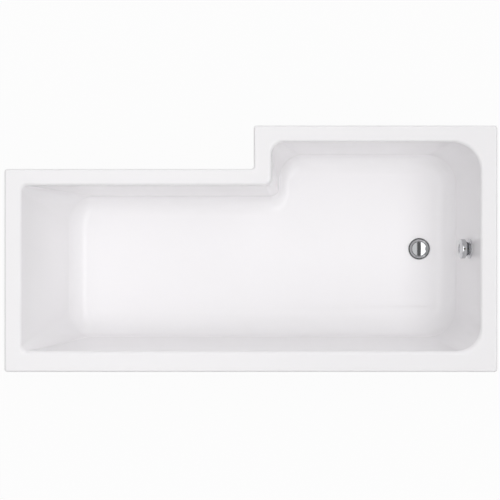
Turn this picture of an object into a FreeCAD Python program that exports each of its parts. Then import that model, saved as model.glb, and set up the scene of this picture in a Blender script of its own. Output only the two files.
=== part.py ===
import FreeCAD, Part
import math
import operator
import os
import types

import Sketcher

# An L-shaped shower bath: a moulded acrylic shell on a timber and steel cradle, with a
# pop-up waste in its floor and a rotary overflow in its tap-end wall.
# X runs from the head end to the tap end, Y from the back wall to the room, Z up.
# The origin lies at floor level under the middle of the rim. All sizes are millimetres.

V = FreeCAD.Vector
doc = FreeCAD.newDocument("shower_bath")
sheet = doc.addObject("Spreadsheet::Sheet", "sizes")

SIZES = [
    # The moulded shell
    ("bath_length", 1700, "head end to tap end, over the rim"),
    ("bath_width", 850, "back to front at the shower end"),
    ("head_width", 700, "back to front at the head end"),
    ("shower_length", 840, "length of the wide shower end"),
    ("rim_height", 550, "floor of the room to the top of the rim"),
    ("basin_depth", 400, "top of the rim to the floor of the bath"),
    ("shell_wall", 6, "acrylic with its bonded backing"),
    ("lip_depth", 36, "downturned edge of the rim"),
    ("plan_corner", 10, "outer corners of the rim, seen from above"),
    ("lip_edge", 4, "rounded top edge of the lip"),
    ("rim_front", 56, "rim width at the front"),
    ("rim_back", 71, "rim width at the back"),
    ("rim_head", 57, "rim width at the head end"),
    ("rim_tap", 57, "rim width at the tap end"),
    ("rim_notch", 60, "rim width at the step between the two widths"),
    ("fall_front", 34, "how far the front wall leans in over the depth"),
    ("fall_back", 45, "how far the back wall leans in"),
    ("fall_head", 150, "how far the backrest leans in"),
    ("fall_tap", 60, "how far the tap-end wall leans in"),
    ("fall_notch", 34, "how far the step wall leans in"),
    ("mouth_head_corner", 18, "head corners at the rim"),
    ("mouth_tap_corner", 100, "tap-end corners at the rim"),
    ("mouth_shower_corner", 42, "front corner of the step at the rim"),
    ("mouth_notch_corner", 24, "inner corner of the step at the rim"),
    ("floor_head_corner", 110, "head corners at the floor"),
    ("floor_tap_corner", 110, "tap-end corners at the floor"),
    ("floor_shower_corner", 100, "front corner of the step at the floor"),
    ("floor_notch_corner", 30, "inner corner of the step at the floor"),
    ("mouth_round", 13, "rounding from the rim into the walls"),
    ("floor_round", 75, "rounding from the walls into the floor"),
    ("rim_root", 8, "rounding under the rim, where it leaves the walls"),
    # Board and battens
    ("board_thick", 18, "baseboard under the bath floor"),
    ("board_margin", 6, "baseboard edge to the start of the rounding"),
    ("board_waste_gap", 28, "baseboard edge to the waste body"),
    ("batten_wide", 24, "timber rim battens"),
    ("batten_gap", 2, "batten to the inside of the lip"),
    ("joint_gap", 1, "between batten ends"),
    # Cradle bars and feet
    ("bar_wide", 40, "steel channel"),
    ("bar_high", 25, "steel channel"),
    ("bar_wall", 2.5, "steel channel"),
    ("bar_overhang", 25, "foot axis to the end of its bar"),
    ("head_bar_at", 370, "head end to the first bar"),
    ("middle_bar_at", 30, "step between the two widths to the second bar"),
    ("tap_bar_at", 410, "tap end to the third bar"),
    ("foot_inset", 15, "foot axis to the edge of the bath floor"),
    ("foot_radius", 28, "plastic foot"),
    ("foot_edge", 4, "straight edge of the foot"),
    ("foot_base", 10, "height of the foot at its shoulder"),
    ("foot_boss_radius", 12, "boss that takes the stud"),
    ("foot_boss_high", 30, "top of the boss"),
    ("foot_floor", 12, "plastic under the stud"),
    ("stud_radius", 5, "threaded stud"),
    ("stud_above", 24, "stud above its bar"),
    ("nut_across", 17, "lock nut across its flats"),
    ("nut_high", 8, "lock nut"),
    ("screw_gap", 0.4, "radial clearance of a thread or a screw hole"),
    ("cradle_screw_spread", 120, "bar middle to its board screws"),
    ("cradle_screw_side", 9, "bar axis to its board screws"),
    ("cradle_screw_long", 15, "length of the board screws"),
    ("screw_radius", 2.2, "wood screws"),
    ("screw_head", 4.4, "wood screw head radius"),
    ("screw_head_high", 2.6, "wood screw head height"),
    ("pilot_gap", 0.8, "radial clearance of a wood screw hole"),
    # Wall brackets
    ("bracket_wide", 52, "length along the rim"),
    ("bracket_leg", 46, "leg against the wall"),
    ("bracket_foot", 40, "leg under the rim"),
    ("bracket_wall", 2, "sheet steel"),
    ("bracket_hole", 3, "radius of the wall fixing holes"),
    ("bracket_pitch", 26, "between the holes of one leg"),
    ("bracket_hole_drop", 26, "rim lip to the wall fixing holes"),
    ("bracket_screw_long", 20, "length of the batten screws"),
    ("back_bracket_at", 450, "bath middle to each back bracket"),
    ("tap_bracket_at", 225, "back edge to the tap-end bracket"),
    # Pop-up waste
    ("waste_from_end", 237, "tap end to the waste axis"),
    ("waste_flange_radius", 39.5, "chrome flange on the bath floor"),
    ("flange_thick", 2.8, "chrome flange"),
    ("flange_edge", 1.6, "straight edge of the flange"),
    ("dish_radius", 34.3, "dish inside the flat ring of the flange"),
    ("washer_thick", 1.5, "seal between flange and bath floor"),
    ("recess_radius", 27.8, "recess that takes the plug"),
    ("dish_depth", 3, "drop of the dish to the recess"),
    ("recess_depth", 6.5, "recess that takes the plug"),
    ("bowl_wall", 3.2, "wall of the recess"),
    ("bowl_gap", 1, "recess to the hole in the bath floor"),
    ("tail_radius", 22, "threaded tail of the flange"),
    ("tail_bore", 19, "bore of the tail"),
    ("tail_drop", 32, "tail below the bath"),
    ("gasket_thick", 3, "rubber gaskets under the bath"),
    ("body_flange_radius", 43, "flange of the waste body"),
    ("body_flange", 5, "thickness of that flange"),
    ("body_wall", 4.5, "wall of the waste body"),
    ("body_drop", 62, "depth of the waste chamber"),
    ("outlet_radius", 23.9, "outlet spigot for the trap"),
    ("outlet_bore", 20, "bore of the outlet"),
    ("outlet_long", 24, "length of the outlet spigot"),
    ("spigot_radius", 13, "spigots that take the overflow hose"),
    ("spigot_bore", 10.5, "bore of those spigots"),
    ("spigot_reach", 55, "waste axis to the end of its hose spigot"),
    ("spigot_drop", 17, "tail end to the axis of the hose spigot"),
    ("port_radius", 5.5, "ports that take the control cable"),
    ("port_reach", 42, "axis to the end of a cable port"),
    # Plug and its lift
    ("plug_radius", 26.3, "plug cap"),
    ("plug_edge", 3, "straight edge of the cap"),
    ("plug_crown", 2.2, "rise of the cap"),
    ("plug_edge_round", 1.2, "rounded edge of the cap"),
    ("plug_boss", 7, "boss radius under the cap"),
    ("plug_boss_drop", 6, "boss length"),
    ("seal_thick", 1.5, "rubber ring under the cap"),
    ("seal_inset", 0.6, "seal edge to cap edge"),
    ("seat_gap", 0.3, "seal to its ledge"),
    ("stem_radius", 3.9, "plug stem"),
    ("stem_drop", 12, "stem below the tail"),
    ("stem_nut_across", 13, "nut that sets the stem length"),
    ("stem_nut_high", 5, "nut that sets the stem length"),
    ("guide_gap", 0.3, "stem guide to the tail bore and to the stem"),
    ("guide_ring", 2.2, "wall of the guide ring"),
    ("guide_hub", 7, "hub radius of the guide"),
    ("guide_spoke", 4, "width of the guide spokes"),
    ("guide_high", 6, "height of the guide"),
    ("guide_rise", 14, "tail end to the guide"),
    ("plug_lift", 9, "travel of the plug"),
    ("lever_arm", 15, "lever pivot to its nose"),
    ("lever_nose", 3, "radius of the lever nose"),
    ("lever_boss", 4.5, "radius round the lever pivot"),
    ("lever_crank", 12, "lever pivot to its cable end"),
    ("lever_bar", 3.6, "depth of the lever arms"),
    ("lever_wide", 6, "thickness of the lever"),
    ("lever_gap", 0.4, "lever nose to the stem"),
    ("pin_radius", 2, "lever pin"),
    ("pin_half", 21, "half length of the pin"),
    ("run_gap", 0.05, "radial clearance of a turning fit"),
    # Rotary overflow
    ("overflow_below", 150, "top of the rim to the overflow axis"),
    ("overflow_hole", 25, "hole in the tap-end wall"),
    ("rosette_radius", 35, "chrome rosette on the wall"),
    ("rosette_edge", 2.5, "straight edge of the rosette"),
    ("rosette_front", 24.6, "front radius of the rosette"),
    ("rosette_lip", 2.4, "front wall of the rosette"),
    ("rosette_high", 10.5, "height of the rosette"),
    ("rosette_floor", 3, "wall behind the hollow"),
    ("rosette_hub", 7.5, "radius of the spindle bearing"),
    ("water_hole", 4.5, "radius of the water holes"),
    ("screw_circle", 17, "axis to water holes and screws"),
    ("spindle_radius", 4, "knob spindle"),
    ("knob_gap", 4, "rosette to knob"),
    ("knob_long", 20, "length of the knob at its edge"),
    ("knob_radius", 34.5, "knob"),
    ("knob_rear", 28, "rear radius of the knob"),
    ("knob_taper", 5, "length of the rear bevel"),
    ("knob_wall", 3, "wall of the knob"),
    ("knob_crown", 5, "rise of the domed front of the knob"),
    ("knob_round", 2.5, "rounded front edge of the knob"),
    ("knob_hub", 8.5, "hub of the knob"),
    ("grub_hole", 3.6, "radius of the grub screw hole"),
    ("grub_from_rear", 12.5, "rear of the knob to its grub screw"),
    ("over_flange_radius", 37, "flange of the overflow body"),
    ("over_flange", 4, "thickness of that flange"),
    ("cup_radius", 29, "cup of the overflow body"),
    ("cup_wall", 3, "wall of the cup"),
    ("cup_depth", 34, "depth of the overflow body"),
    ("cup_boss", 8, "rear bearing boss"),
    ("boss_high", 5, "rear bearing boss above the cup floor"),
    ("screw_boss", 4.4, "radius of the screw posts"),
    ("over_screw", 2.4, "radius of the overflow screws"),
    ("over_screw_head", 4.2, "head radius of the overflow screws"),
    ("over_screw_head_high", 2.8, "head height of the overflow screws"),
    ("over_screw_bite", 18, "screw length inside its post"),
    ("over_reach", 62, "overflow axis to the end of its hose spigot"),
    ("spigot_clear", 1.5, "overflow flange to its hose spigot"),
    ("drum_radius", 11.5, "cable drum"),
    ("drum_groove", 1.5, "depth of the cable groove"),
    ("drum_wide", 6, "width of the drum"),
    ("drum_rise", 1, "rear bearing boss to the drum"),
    # Hose and control cable
    ("hose_radius", 16, "overflow hose over its ribs"),
    ("hose_root", 14.4, "overflow hose between its ribs"),
    ("hose_gap", 0.3, "hose bore to its spigot"),
    ("hose_grip", 20, "hose pushed over each spigot"),
    ("hose_bend", 78, "bend of the hose"),
    ("hose_pitch", 6, "one rib to the next"),
    ("clamp_wall", 2, "hose clamp band"),
    ("clamp_long", 12, "width of the band"),
    ("clamp_inset", 4, "hose clamp to the spigot end"),
    ("clamp_box", 6, "half width and height of the clamp screw box"),
    ("cable_radius", 3, "control cable sheath"),
    ("cable_gap", 0.4, "cable to its port"),
    ("cable_grip", 8, "cable inside each port"),
    ("cable_stand", 110, "cable run to the bath middle"),
    ("cable_bend", 55, "bend of the cable at its ports"),
    ("cable_sweep", 100, "bend of the cable under the bath"),
]

for row, (alias, value, note) in enumerate(SIZES, start=1):
    sheet.set("A%d" % row, note)
    sheet.set("B%d" % row, str(value))
    sheet.setAlias("B%d" % row, alias)
doc.recompute()

SIGNS = {"+": operator.add, "-": operator.sub, "*": operator.mul, "/": operator.truediv}


class Size:
    """A number together with the sheet formula that gives it."""

    def __init__(self, value, text):
        self.value = value
        self.text = text

    def __add__(self, other):
        return joined(self, "+", other)

    def __radd__(self, other):
        return joined(other, "+", self)

    def __sub__(self, other):
        return joined(self, "-", other)

    def __rsub__(self, other):
        return joined(other, "-", self)

    def __mul__(self, other):
        return joined(self, "*", other)

    def __rmul__(self, other):
        return joined(other, "*", self)

    def __truediv__(self, other):
        return joined(self, "/", other)

    def __neg__(self):
        return joined(0, "-", self)


def as_size(number):
    if isinstance(number, Size):
        return number
    return Size(float(number), repr(float(number)))


def joined(left, sign, right):
    left = as_size(left)
    right = as_size(right)
    value = SIGNS[sign](left.value, right.value)
    return Size(value, "(%s %s %s)" % (left.text, sign, right.text))


def slope(rise, run):
    value = math.degrees(math.atan2(rise.value, run.value))
    return Size(value, "atan(%s / %s)" % (rise.text, run.text))


def arc_sine(ratio):
    return Size(math.degrees(math.asin(ratio.value)), "asin(%s)" % ratio.text)


def cosine(angle):
    return Size(math.cos(math.radians(angle.value)), "cos(%s)" % angle.text)


def lesser(left, right):
    return Size(min(left.value, right.value), "min(%s; %s)" % (left.text, right.text))


RIGHT_ANGLE = Size(90.0, "90 deg")
d = types.SimpleNamespace()
for alias, value, note in SIZES:
    setattr(d, alias, Size(float(value), "sizes." + alias))

# Sketches, features and fasteners that the sub-parts share

pieces = []


def new_body(name):
    body = doc.addObject("PartDesign::Body", name)
    body.Label = name
    pieces.append(body)
    return body


def put(thing, x=0, y=0, z=0):
    thing.setExpression("Placement.Base.x", as_size(x).text)
    thing.setExpression("Placement.Base.y", as_size(y).text)
    thing.setExpression("Placement.Base.z", as_size(z).text)


def turn_about(thing, axis, angle):
    thing.Placement = FreeCAD.Placement(V(0, 0, 0), FreeCAD.Rotation(axis, angle.value))
    thing.setExpression("Placement.Rotation.Angle", angle.text)


def new_sketch(body, plane, lift=None):
    sketch = body.newObject("Sketcher::SketchObject", body.Label + "_sketch")
    support = [f for f in body.Origin.OriginFeatures if f.Role == plane][0]
    sketch.AttachmentSupport = [(support, "")]
    sketch.MapMode = "FlatFace"
    if lift is not None:
        sketch.setExpression("AttachmentOffset.Base.z", as_size(lift).text)
    return sketch


def bind(sketch, kind, size, *places):
    size = as_size(size)
    index = sketch.addConstraint(Sketcher.Constraint(kind, *places, size.value))
    sketch.setExpression("Constraints[%d]" % index, size.text)


def circle(sketch, x, y, radius):
    centre = V(as_size(x).value, as_size(y).value, 0)
    index = sketch.addGeometry(Part.Circle(centre, V(0, 0, 1), as_size(radius).value))
    bind(sketch, "DistanceX", x, -1, 1, index, 3)
    bind(sketch, "DistanceY", y, -1, 1, index, 3)
    bind(sketch, "Radius", radius, index)


def polygon(sketch, points, bows=None):
    # Sides run anticlockwise; a side named in bows is an arc of that radius, bowed outwards.
    bows = bows or {}
    count = len(points)
    spots = [V(as_size(x).value, as_size(y).value, 0) for x, y in points]
    first = sketch.GeometryCount
    for i, start in enumerate(spots):
        end = spots[(i + 1) % count]
        if i in bows:
            chord = end - start
            radius = bows[i].value
            rise = radius - math.sqrt(radius ** 2 - (chord.Length / 2) ** 2)
            outward = V(chord.y, -chord.x, 0).normalize()
            middle = (start + end) * 0.5 + outward * rise
            sketch.addGeometry(Part.Arc(start, middle, end))
        else:
            sketch.addGeometry(Part.LineSegment(start, end))
    for i, (x, y) in enumerate(points):
        following = first + (i + 1) % count
        sketch.addConstraint(Sketcher.Constraint("Coincident", first + i, 2, following, 1))
        bind(sketch, "DistanceX", x, -1, 1, first + i, 1)
        bind(sketch, "DistanceY", y, -1, 1, first + i, 1)
        if i in bows:
            bind(sketch, "Radius", bows[i], first + i)


def rounded_polygon(sketch, points, radii):
    # An outline of upright and level sides, anticlockwise, with a tangent arc at each corner.
    count = len(points)
    spots = [V(x.value, y.value, 0) for x, y in points]
    arcs = []
    for i, spot in enumerate(spots):
        back = (spots[i - 1] - spot).normalize()
        ahead = (spots[(i + 1) % count] - spot).normalize()
        reach = radii[i].value
        centre = spot + (back + ahead) * reach
        middle = centre - (back + ahead).normalize() * reach
        arcs.append((spot + back * reach, middle, spot + ahead * reach))
    first = sketch.GeometryCount
    for i in range(count):
        sketch.addGeometry(Part.LineSegment(arcs[i][2], arcs[(i + 1) % count][0]))
    for begin, middle, end in arcs:
        sketch.addGeometry(Part.Arc(begin, middle, end))
    for i in range(count):
        following = (i + 1) % count
        level = abs(spots[following].y - spots[i].y) < 1e-6
        sketch.addConstraint(Sketcher.Constraint("Horizontal" if level else "Vertical", first + i))
        if level:
            bind(sketch, "DistanceY", points[i][1], -1, 1, first + i, 1)
        else:
            bind(sketch, "DistanceX", points[i][0], -1, 1, first + i, 1)
        for line_end, corner, place in ((1, i, arcs[i][2]), (2, following, arcs[following][0])):
            arc = first + count + corner
            arc_end = 1 if (sketch.getPoint(arc, 1) - place).Length < 1e-4 else 2
            tangent = Sketcher.Constraint("Tangent", first + i, line_end, arc, arc_end)
            sketch.addConstraint(tangent)
        bind(sketch, "Radius", radii[i], first + count + i)


def pad(body, sketch, length, reverse=False, middle=False):
    feature = body.newObject("PartDesign::Pad", body.Label + "_pad")
    feature.Profile = sketch
    feature.setExpression("Length", as_size(length).text)
    feature.Reversed = reverse
    feature.Midplane = middle
    return feature


def pocket(body, sketch, depth=None, reverse=False):
    # A pocket goes against the sketch's normal; with no depth it goes right through, both ways.
    feature = body.newObject("PartDesign::Pocket", body.Label + "_pocket")
    feature.Profile = sketch
    if depth is None:
        feature.Type = "ThroughAll"
        feature.Midplane = True
    else:
        feature.setExpression("Length", as_size(depth).text)
        feature.Reversed = reverse
    return feature


def revolve(body, points, bows=None):
    sketch = new_sketch(body, "XZ_Plane")
    polygon(sketch, points, bows)
    feature = body.newObject("PartDesign::Revolution", body.Label + "_turned")
    feature.Profile = sketch
    feature.ReferenceAxis = (sketch, ["V_Axis"])
    feature.Angle = 360
    return feature


def round_off(body, radius, wanted):
    # Rounds the edges of the body so far that the test picks out.
    doc.recompute()
    base = body.Tip
    names = []
    for index, edge in enumerate(base.Shape.Edges, start=1):
        if wanted(edge):
            names.append("Edge%d" % index)
    feature = body.newObject("PartDesign::Fillet", body.Label + "_rounding")
    feature.Base = (base, names)
    feature.setExpression("Radius", as_size(radius).text)
    doc.recompute()
    return feature


def lies_at(edge, height):
    box = edge.BoundBox
    return abs(box.ZMin - height.value) < 1e-3 and abs(box.ZMax - height.value) < 1e-3


def ring_of(radius, height):
    # A test for the round edge of that radius at that height on a turned piece.
    def wanted(edge):
        box = edge.BoundBox
        return lies_at(edge, height) and abs(box.XLength / 2 - radius.value) < 1e-3
    return wanted


def tube(name, plane, lift, centre, inner, outer, length, reverse=False):
    body = new_body(name)
    sketch = new_sketch(body, plane, lift)
    circle(sketch, centre[0], centre[1], outer)
    circle(sketch, centre[0], centre[1], inner)
    pad(body, sketch, length, reverse)
    return body


def cylinder(name, radius, height):
    rod = doc.addObject("Part::Cylinder", name)
    rod.setExpression("Radius", radius.text)
    rod.setExpression("Height", height.text)
    return rod


def screw(name, head, head_high, shank, length):
    # The head hangs below the origin and the shank stands above it.
    top = cylinder(name + "_head", head, head_high)
    put(top, z=-head_high)
    stem = cylinder(name + "_shank", shank, length)
    both = doc.addObject("Part::Fuse", name)
    both.Base = top
    both.Tool = stem
    return both


def hexagon_nut(name, across, height, bore):
    block = doc.addObject("Part::Prism", name + "_block")
    block.Polygon = 6
    block.setExpression("Circumradius", "%s / sqrt(3)" % across.text)
    block.setExpression("Height", height.text)
    hole = cylinder(name + "_hole", bore, height)
    nut = doc.addObject("Part::Cut", name)
    nut.Base = block
    nut.Tool = hole
    return nut


def group(name, members):
    bundle = doc.addObject("Part::Compound", name)
    bundle.Label = name
    bundle.Links = members
    pieces.append(bundle)
    return bundle


# Levels and outlines of the bath

x_head = -d.bath_length / 2
x_tap = d.bath_length / 2
x_notch = x_tap - d.shower_length
y_back = -d.bath_width / 2
y_shower = d.bath_width / 2
y_head = y_back + d.head_width
z_rim = d.rim_height
z_rim_under = z_rim - d.shell_wall
z_lip = z_rim - d.lip_depth
z_floor = z_rim - d.basin_depth
z_under = z_floor - d.shell_wall

# The corners of the step take up no more than a share of its depth, and the roundings that
# run past them no more than a share of the corner
STEP_SHARES = types.SimpleNamespace(mouth_outer=0.3, mouth_inner=0.17,
                                    floor_outer=0.68, floor_inner=0.21)
ROUNDING_SHARE = 0.78
step_depth = d.bath_width - d.head_width
mouth_outer = lesser(d.mouth_shower_corner, step_depth * STEP_SHARES.mouth_outer)
mouth_inner = lesser(d.mouth_notch_corner, step_depth * STEP_SHARES.mouth_inner)
floor_outer = lesser(d.floor_shower_corner, step_depth * STEP_SHARES.floor_outer)
floor_inner = lesser(d.floor_notch_corner, step_depth * STEP_SHARES.floor_inner)
mouth_round = lesser(d.mouth_round, mouth_inner * ROUNDING_SHARE)
floor_round = lesser(d.floor_round, floor_outer * ROUNDING_SHARE)
rim_root = lesser(d.rim_root, (mouth_inner - d.shell_wall) * ROUNDING_SHARE)


def ell(x0, x1, y0, y1, y2, xn):
    return [(x0, y0), (x1, y0), (x1, y2), (xn, y2), (xn, y1), (x0, y1)]


def rim_outline(inset):
    return ell(x_head + inset, x_tap - inset, y_back + inset,
               y_head - inset, y_shower - inset, x_notch + inset)


def rim_radii(inset):
    outward = d.plan_corner - inset
    return [outward, outward, outward, outward, d.plan_corner + inset, outward]


def basin_outline(depth, skin):
    # The basin at a depth below the rim, grown outwards by the thickness of a skin.
    share = as_size(depth) / d.basin_depth
    return ell(x_head + d.rim_head + d.fall_head * share - skin,
               x_tap - d.rim_tap - d.fall_tap * share + skin,
               y_back + d.rim_back + d.fall_back * share - skin,
               y_head - d.rim_front - d.fall_front * share + skin,
               y_shower - d.rim_front - d.fall_front * share + skin,
               x_notch + d.rim_notch + d.fall_notch * share - skin)


def mouth_radii(skin):
    return [d.mouth_head_corner + skin, d.mouth_tap_corner + skin, d.mouth_tap_corner + skin,
            mouth_outer + skin, mouth_inner - skin, d.mouth_head_corner + skin]


def floor_radii(skin):
    return [d.floor_head_corner + skin, d.floor_tap_corner + skin, d.floor_tap_corner + skin,
            floor_outer + skin, floor_inner - skin, d.floor_head_corner + skin]


# Axes of the waste and the overflow

x_waste = x_tap - d.waste_from_end
tap_lean = slope(d.fall_tap, d.basin_depth)
x_overflow = x_tap - d.rim_tap - d.fall_tap * d.overflow_below / d.basin_depth
z_overflow = z_rim - d.overflow_below
waste_hole = d.recess_radius + d.bowl_wall + d.bowl_gap


def on_tap_wall(thing):
    # The local Z axis points out of the wall into the bath, and local X up the wall.
    turn_about(thing, V(0, 1, 0), tap_lean - RIGHT_ANGLE)
    put(thing, x_overflow, 0, z_overflow)


# The acrylic shell: a tapered basin, a flat rim, a downturned lip and two holes

shell = new_body("bath_shell")


def basin(kind, upper, lower, skin):
    mouth = new_sketch(shell, "XY_Plane", upper)
    rounded_polygon(mouth, basin_outline(0, skin), mouth_radii(skin))
    base = new_sketch(shell, "XY_Plane", lower)
    rounded_polygon(base, basin_outline(z_rim - lower, skin), floor_radii(skin))
    loft = shell.newObject(kind, "basin")
    loft.Profile = mouth
    loft.Sections = [base]
    loft.Ruled = True


basin("PartDesign::AdditiveLoft", z_rim, z_under, d.shell_wall)
rim_plate = new_sketch(shell, "XY_Plane", z_rim_under)
rounded_polygon(rim_plate, rim_outline(as_size(0)), rim_radii(as_size(0)))
pad(shell, rim_plate, d.shell_wall)
lip = new_sketch(shell, "XY_Plane", z_lip)
rounded_polygon(lip, rim_outline(as_size(0)), rim_radii(as_size(0)))
rounded_polygon(lip, rim_outline(d.shell_wall), rim_radii(d.shell_wall))
pad(shell, lip, d.lip_depth)
basin("PartDesign::SubtractiveLoft", z_rim, z_floor, as_size(0))


def near_lip(edge):
    # True for edges along the outer edge of the rim or the inside of the lip.
    spot = edge.valueAt((edge.FirstParameter + edge.LastParameter) / 2)
    band = d.shell_wall.value + d.plan_corner.value
    outer = min(spot.x - x_head.value, x_tap.value - spot.x,
                spot.y - y_back.value, y_shower.value - spot.y)
    step = max(spot.x - x_notch.value, y_head.value - spot.y)
    return min(outer, step) < band


round_off(shell, floor_round, lambda edge: lies_at(edge, z_floor))
round_off(shell, floor_round + d.shell_wall, lambda edge: lies_at(edge, z_under))
round_off(shell, mouth_round, lambda edge: lies_at(edge, z_rim) and not near_lip(edge))
round_off(shell, rim_root, lambda edge: lies_at(edge, z_rim_under) and not near_lip(edge))
round_off(shell, d.lip_edge, lambda edge: lies_at(edge, z_rim) and near_lip(edge))

# Each hole is cut from one wall before the face it starts at to one wall behind the other
CUT_WALLS = 3
drain = new_sketch(shell, "XY_Plane", z_floor + d.shell_wall)
circle(drain, x_waste, 0, waste_hole)
pocket(shell, drain, d.shell_wall * CUT_WALLS)

wall_turn = tap_lean - RIGHT_ANGLE
spill_rise = d.shell_wall * d.fall_tap / d.basin_depth
spill = new_sketch(shell, "XY_Plane")
spill.AttachmentOffset = FreeCAD.Placement(V(0, 0, 0), FreeCAD.Rotation(V(0, 1, 0), wall_turn.value))
spill.setExpression("AttachmentOffset.Rotation.Angle", wall_turn.text)
spill.setExpression("AttachmentOffset.Base.x", (x_overflow - d.shell_wall).text)
spill.setExpression("AttachmentOffset.Base.z", (z_overflow + spill_rise).text)
circle(spill, 0, 0, d.overflow_hole)
pocket(shell, spill, d.shell_wall * CUT_WALLS)

# Battens that stiffen the rim, laid end to end inside the lip

near = d.shell_wall + d.batten_gap
far = near + d.batten_wide
batten_high = d.lip_depth - d.shell_wall
pilot = d.screw_radius + d.pilot_gap
batten_axis = near + d.batten_wide / 2


def batten(name, x0, x1, y0, y1, holes=()):
    body = new_body(name)
    put(body, (x0 + x1) / 2, (y0 + y1) / 2, z_lip)
    half_x = (x1 - x0) / 2
    half_y = (y1 - y0) / 2
    sketch = new_sketch(body, "XY_Plane")
    polygon(sketch, [(-half_x, -half_y), (half_x, -half_y), (half_x, half_y), (-half_x, half_y)])
    pad(body, sketch, batten_high)
    if holes:
        drilled = new_sketch(body, "XY_Plane")
        for x, y in holes:
            circle(drilled, x - (x0 + x1) / 2, y - (y0 + y1) / 2, pilot)
        pocket(body, drilled, d.bracket_screw_long, reverse=True)


# Each bracket: its middle on the outer face of the lip, and its turn about Z
y_head_bracket = (y_back + y_head) / 2
y_tap_bracket = y_back + d.tap_bracket_at
BRACKETS = [
    ("back_bracket_1", -d.back_bracket_at, y_back, 0),
    ("back_bracket_2", d.back_bracket_at, y_back, 0),
    ("head_bracket", x_head, y_head_bracket, -90),
    ("tap_bracket", x_tap, y_tap_bracket, 90),
]
half_pitch = d.bracket_pitch / 2


def turned(x, y, angle):
    # A point in a bracket's own plan, turned with it through a right angle or not at all.
    return {0: (x, y), -90: (y, -x), 90: (-y, x)}[angle]


bracket_screw_spots = []
for name, x, y, angle in BRACKETS:
    for side in (-half_pitch, half_pitch):
        dx, dy = turned(side, batten_axis, angle)
        bracket_screw_spots.append((name, x + dx, y + dy))


def spots_of(*names):
    return [(x, y) for name, x, y in bracket_screw_spots if name in names]


batten("back_batten", x_head + near, x_tap - near, y_back + near, y_back + far,
       spots_of("back_bracket_1", "back_bracket_2"))
batten("head_batten", x_head + near, x_head + far, y_back + far + d.joint_gap, y_head - near,
       spots_of("head_bracket"))
batten("front_batten", x_head + far + d.joint_gap, x_notch + far, y_head - far, y_head - near)
batten("step_batten", x_notch + near, x_notch + far, y_head - near + d.joint_gap, y_shower - near)
batten("shower_batten", x_notch + far + d.joint_gap, x_tap - near, y_shower - far, y_shower - near)
batten("tap_batten", x_tap - far, x_tap - near, y_back + far + d.joint_gap,
       y_shower - far - d.joint_gap, spots_of("tap_bracket"))

# Steel brackets that hold the rim to the walls

for name, x, y, angle in BRACKETS:
    bracket = new_body(name)
    bracket.Placement = FreeCAD.Placement(V(0, 0, 0), FreeCAD.Rotation(V(0, 0, 1), angle))
    put(bracket, x, y, z_lip)
    profile = new_sketch(bracket, "YZ_Plane")
    polygon(profile, [(0, -d.bracket_leg), (d.bracket_wall, -d.bracket_leg),
                      (d.bracket_wall, -d.bracket_wall), (d.bracket_foot, -d.bracket_wall),
                      (d.bracket_foot, 0), (0, 0)])
    pad(bracket, profile, d.bracket_wide, middle=True)
    wall_holes = new_sketch(bracket, "XZ_Plane")
    rim_holes = new_sketch(bracket, "XY_Plane")
    for side in (-half_pitch, half_pitch):
        circle(wall_holes, side, -d.bracket_hole_drop, d.bracket_hole)
        circle(rim_holes, side, batten_axis, pilot)
    pocket(bracket, wall_holes, d.bracket_wall * 2)
    pocket(bracket, rim_holes, d.bracket_wall * 2)

bracket_screws = []
for index, (name, x, y) in enumerate(bracket_screw_spots, start=1):
    one = screw("bracket_screw_%d" % index, d.screw_head, d.screw_head_high,
                d.screw_radius, d.bracket_screw_long)
    put(one, x, y, z_lip - d.bracket_wall)
    bracket_screws.append(one)
group("bracket_screws", bracket_screws)

# The baseboard bonded under the flat of the bath floor, and the steel bars under it

z_board = z_under - d.board_thick
flat = d.floor_round + d.board_margin
floor_line = basin_outline(d.basin_depth, as_size(0))
(x_floor_head, y_floor_back), (x_floor_step, y_floor_head) = floor_line[0], floor_line[4]
y_floor_shower = floor_line[2][1]
x_board_end = x_waste - d.body_flange_radius - d.board_waste_gap

y_foot_back = y_floor_back - d.shell_wall + d.foot_inset
y_foot_head = y_floor_head + d.shell_wall - d.foot_inset
y_foot_shower = y_floor_shower + d.shell_wall - d.foot_inset
BARS = [
    ("head_cradle_bar", x_head + d.head_bar_at, y_foot_head),
    ("middle_cradle_bar", x_notch - d.middle_bar_at, y_foot_head),
    ("tap_cradle_bar", x_tap - d.tap_bar_at, y_foot_shower),
]
cradle_screw_spots = []
foot_spots = []
for name, x, y_front in BARS:
    y_middle = (y_foot_back + y_front) / 2
    foot_spots.append((x, y_foot_back))
    foot_spots.append((x, y_front))
    for dx in (-d.cradle_screw_side, d.cradle_screw_side):
        for dy in (-d.cradle_screw_spread, d.cradle_screw_spread):
            cradle_screw_spots.append((x + dx, y_middle + dy))

board = new_body("baseboard")
put(board, 0, 0, z_board)
board_shape = new_sketch(board, "XY_Plane")
polygon(board_shape, ell(x_floor_head + flat, x_board_end, y_floor_back + flat,
                         y_floor_head - flat, y_floor_shower - flat, x_floor_step + flat))
pad(board, board_shape, d.board_thick)
board_holes = new_sketch(board, "XY_Plane")
for x, y in cradle_screw_spots:
    circle(board_holes, x, y, pilot)
pocket(board, board_holes, d.cradle_screw_long, reverse=True)

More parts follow.
